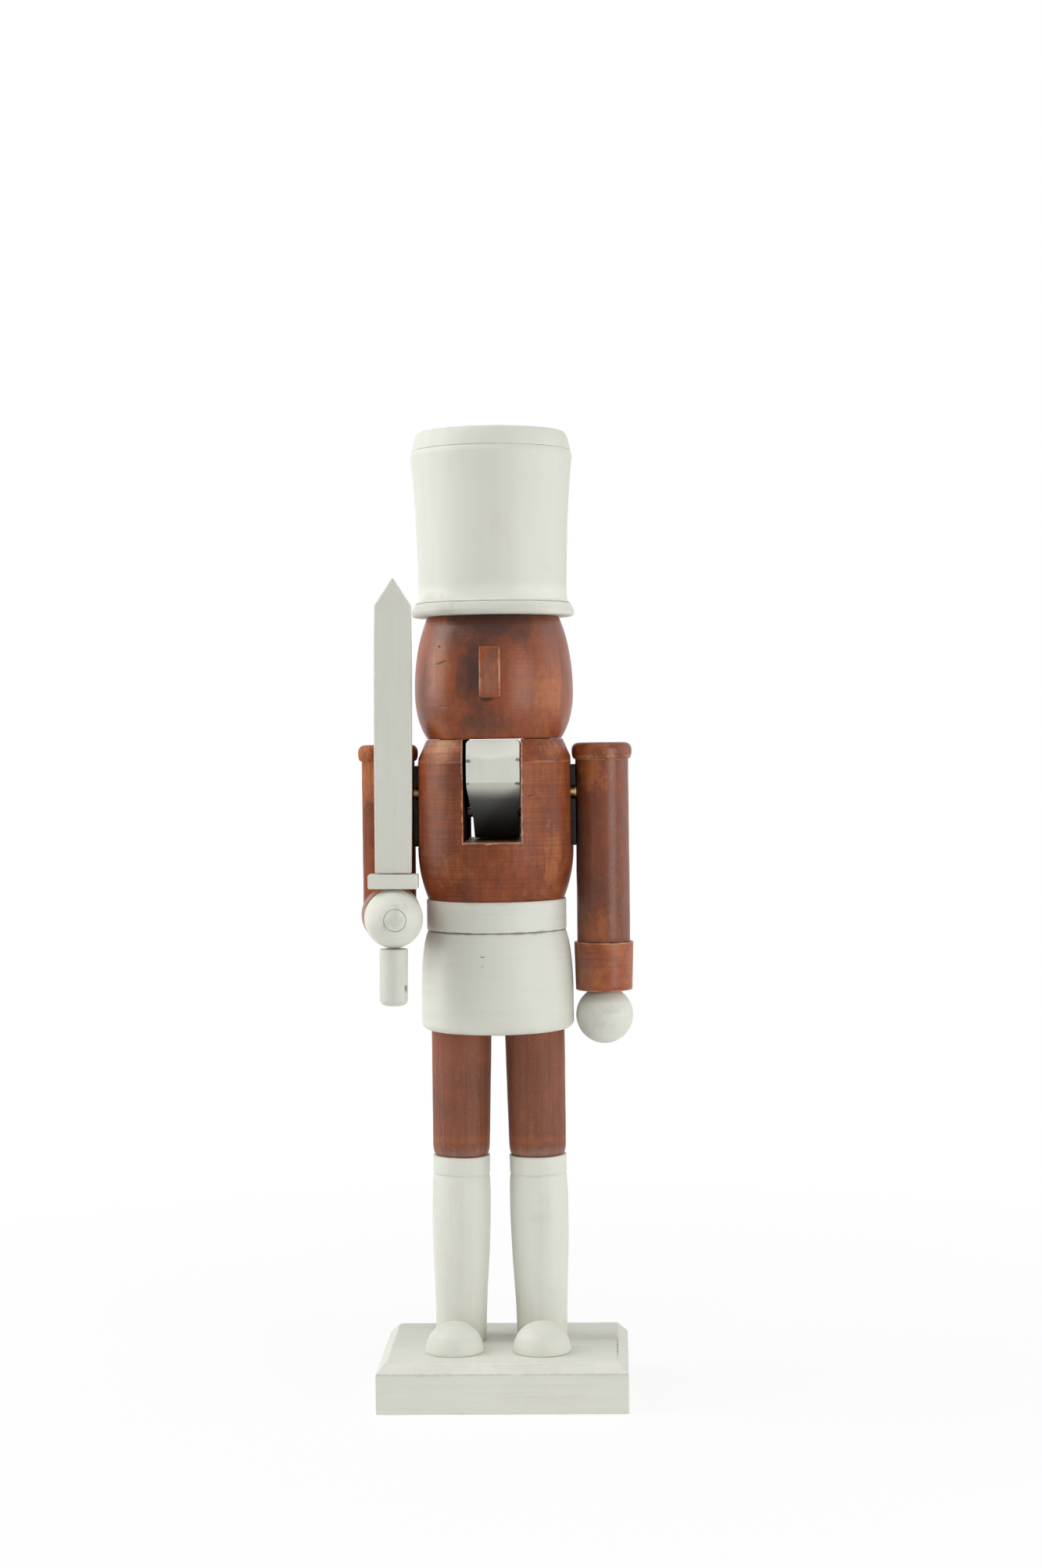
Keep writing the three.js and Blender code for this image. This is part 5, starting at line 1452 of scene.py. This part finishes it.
class NUTCRACKER_OT_stage(bpy.types.Operator):
    """Make the floor, lamps and camera"""

    bl_idname = "nutcracker.stage"
    bl_label = "Stage"

    def execute(self, context):
        stage, scene = settings().stage, context.scene
        scene.view_settings.view_transform = "Standard"
        world = bpy.data.worlds.new("sky")
        world.use_nodes = True
        scene.world = world
        sky = world.node_tree.nodes["Background"]
        sky.inputs["Color"].default_value = WHITE
        sky.inputs["Strength"].default_value = stage.sky
        output = world.node_tree.nodes["World Output"]
        world.node_tree.links.new(white_for_camera(world.node_tree, sky, 1, 1), output.inputs[0])
        bm = bmesh.new()
        bmesh.ops.create_grid(bm, x_segments=1, y_segments=1, size=FLOOR_HALF)
        bmesh.ops.translate(bm, verts=bm.verts, vec=(0, 0, -stage.floor_drop))
        mesh = bpy.data.meshes.new("floor")
        bm.to_mesh(mesh)
        bm.free()
        floor = bpy.data.objects.new("floor", mesh)
        scene.collection.objects.link(floor)
        made = bpy.data.materials.new("floor")
        made.use_nodes = True
        shader = made.node_tree.nodes["Principled BSDF"]
        shader.inputs["Base Color"].default_value = solid(stage.floor_colour)
        shader.inputs["Roughness"].default_value = 1
        surface = made.node_tree.nodes["Material Output"].inputs["Surface"]
        whitened = white_for_camera(made.node_tree, shader, stage.floor_white, stage.floor_reach)
        made.node_tree.links.new(whitened, surface)
        mesh.materials.append(made)
        middle = (CAD_BOX[0] + CAD_BOX[1]) / 2
        lamps = (
            ("left_lamp", Vector((-1, -0.05, 0.7)), (0.8, 1.3), stage.left_light),
            ("right_lamp", Vector((1, 0.1, 0.35)), (0.8, 1), stage.right_light),
            ("front_lamp", Vector((0.75, -0.75, 0.15)), (0.5, 0.8), stage.front_light),
            ("top_lamp", Vector((0.1, -0.35, 1.3)), (0.9, 0.7), stage.top_light),
        )
        for name, place, size, energy in lamps:
            lamp = bpy.data.lights.new(name, "AREA")
            lamp.shape, lamp.size, lamp.size_y, lamp.energy = "RECTANGLE", *size, energy
            holder = bpy.data.objects.new(name, lamp)
            holder.location = place
            holder.rotation_euler = (middle - place).to_track_quat("-Z", "Y").to_euler()
            scene.collection.objects.link(holder)
        view = bpy.data.cameras.new("camera")
        view.lens, view.sensor_width, view.clip_start = stage.lens, SENSOR_WIDTH, CLIP_START
        eye = bpy.data.objects.new("camera", view)
        away = Matrix.Rotation(stage.eye_round, 4, "Z") @ Vector((0, -stage.eye_distance, stage.eye_height))
        eye.location = away + Vector((0, settings().base.setback, 0))
        heading = Matrix.Rotation(stage.eye_round - stage.aside, 4, "Z")
        level = heading @ Matrix.Rotation(RIGHT_ANGLE - stage.tilt, 4, "X")
        eye.rotation_euler = (level @ Matrix.Rotation(stage.roll, 4, "Z")).to_euler()
        scene.collection.objects.link(eye)
        scene.camera = eye
        return {"FINISHED"}


class SoldierSettings(bpy.types.PropertyGroup):
    """Everything about the soldier that a user would change"""

    finish: PointerProperty(type=SoldierFinish, name="Finish", description="Colours and surface")
    base: PointerProperty(type=BaseSizes, name="Base", description="Block")
    legs: PointerProperty(type=LegSizes, name="Legs", description="Boots, toes and legs")
    trunk: PointerProperty(type=TrunkSizes, name="Trunk", description="Skirt, belt and torso")
    jaw: PointerProperty(type=JawSizes, name="Jaw", description="Jaw lever")
    head: PointerProperty(type=HeadSizes, name="Head", description="Head and nose")
    hat: PointerProperty(type=HatSizes, name="Hat", description="Brim, crown and top")
    arms: PointerProperty(type=ArmSizes, name="Arms", description="Arms, cuffs and hands")
    sword: PointerProperty(type=SwordSizes, name="Sword", description="Blade, guard and grip")
    fittings: PointerProperty(type=FittingSizes, name="Fittings", description="Pads and pins")
    stage: PointerProperty(type=StageSettings, name="Stage", description="Camera, floor and light")


OPERATORS = (
    NUTCRACKER_OT_finishes, NUTCRACKER_OT_base, NUTCRACKER_OT_legs, NUTCRACKER_OT_skirt, NUTCRACKER_OT_torso,
    NUTCRACKER_OT_jaw, NUTCRACKER_OT_head, NUTCRACKER_OT_hat, NUTCRACKER_OT_hanging_arm,
    NUTCRACKER_OT_sword_arm, NUTCRACKER_OT_sword, NUTCRACKER_OT_fittings, NUTCRACKER_OT_stage,
)


class NUTCRACKER_PT_panel(bpy.types.Panel):
    """Settings and steps of the soldier"""

    bl_idname = "NUTCRACKER_PT_panel"
    bl_label = "Nutcracker"
    bl_space_type = "VIEW_3D"
    bl_region_type = "UI"
    bl_category = "Nutcracker"

    def draw(self, context):
        soldier = context.scene.nutcracker
        for group in SoldierSettings.__annotations__:
            box = self.layout.box()
            box.label(text=group.title())
            for size in getattr(soldier, group).__annotations__:
                box.prop(getattr(soldier, group), size)
        for operator in OPERATORS:
            self.layout.operator(operator.bl_idname)


CLASSES = (
    SoldierFinish, BaseSizes, LegSizes, TrunkSizes, JawSizes, HeadSizes, HatSizes, ArmSizes, SwordSizes,
    FittingSizes, StageSettings, SoldierSettings, *OPERATORS, NUTCRACKER_PT_panel,
)


def register():
    for made in CLASSES:
        bpy.utils.register_class(made)
    bpy.types.Scene.nutcracker = PointerProperty(type=SoldierSettings)


def unregister():
    del bpy.types.Scene.nutcracker
    for made in reversed(CLASSES):
        bpy.utils.unregister_class(made)


def main():
    register()
    for operator in OPERATORS:
        group, step = operator.bl_idname.split(".")
        getattr(getattr(bpy.ops, group), step)()


if __name__ == "__main__":
    main()
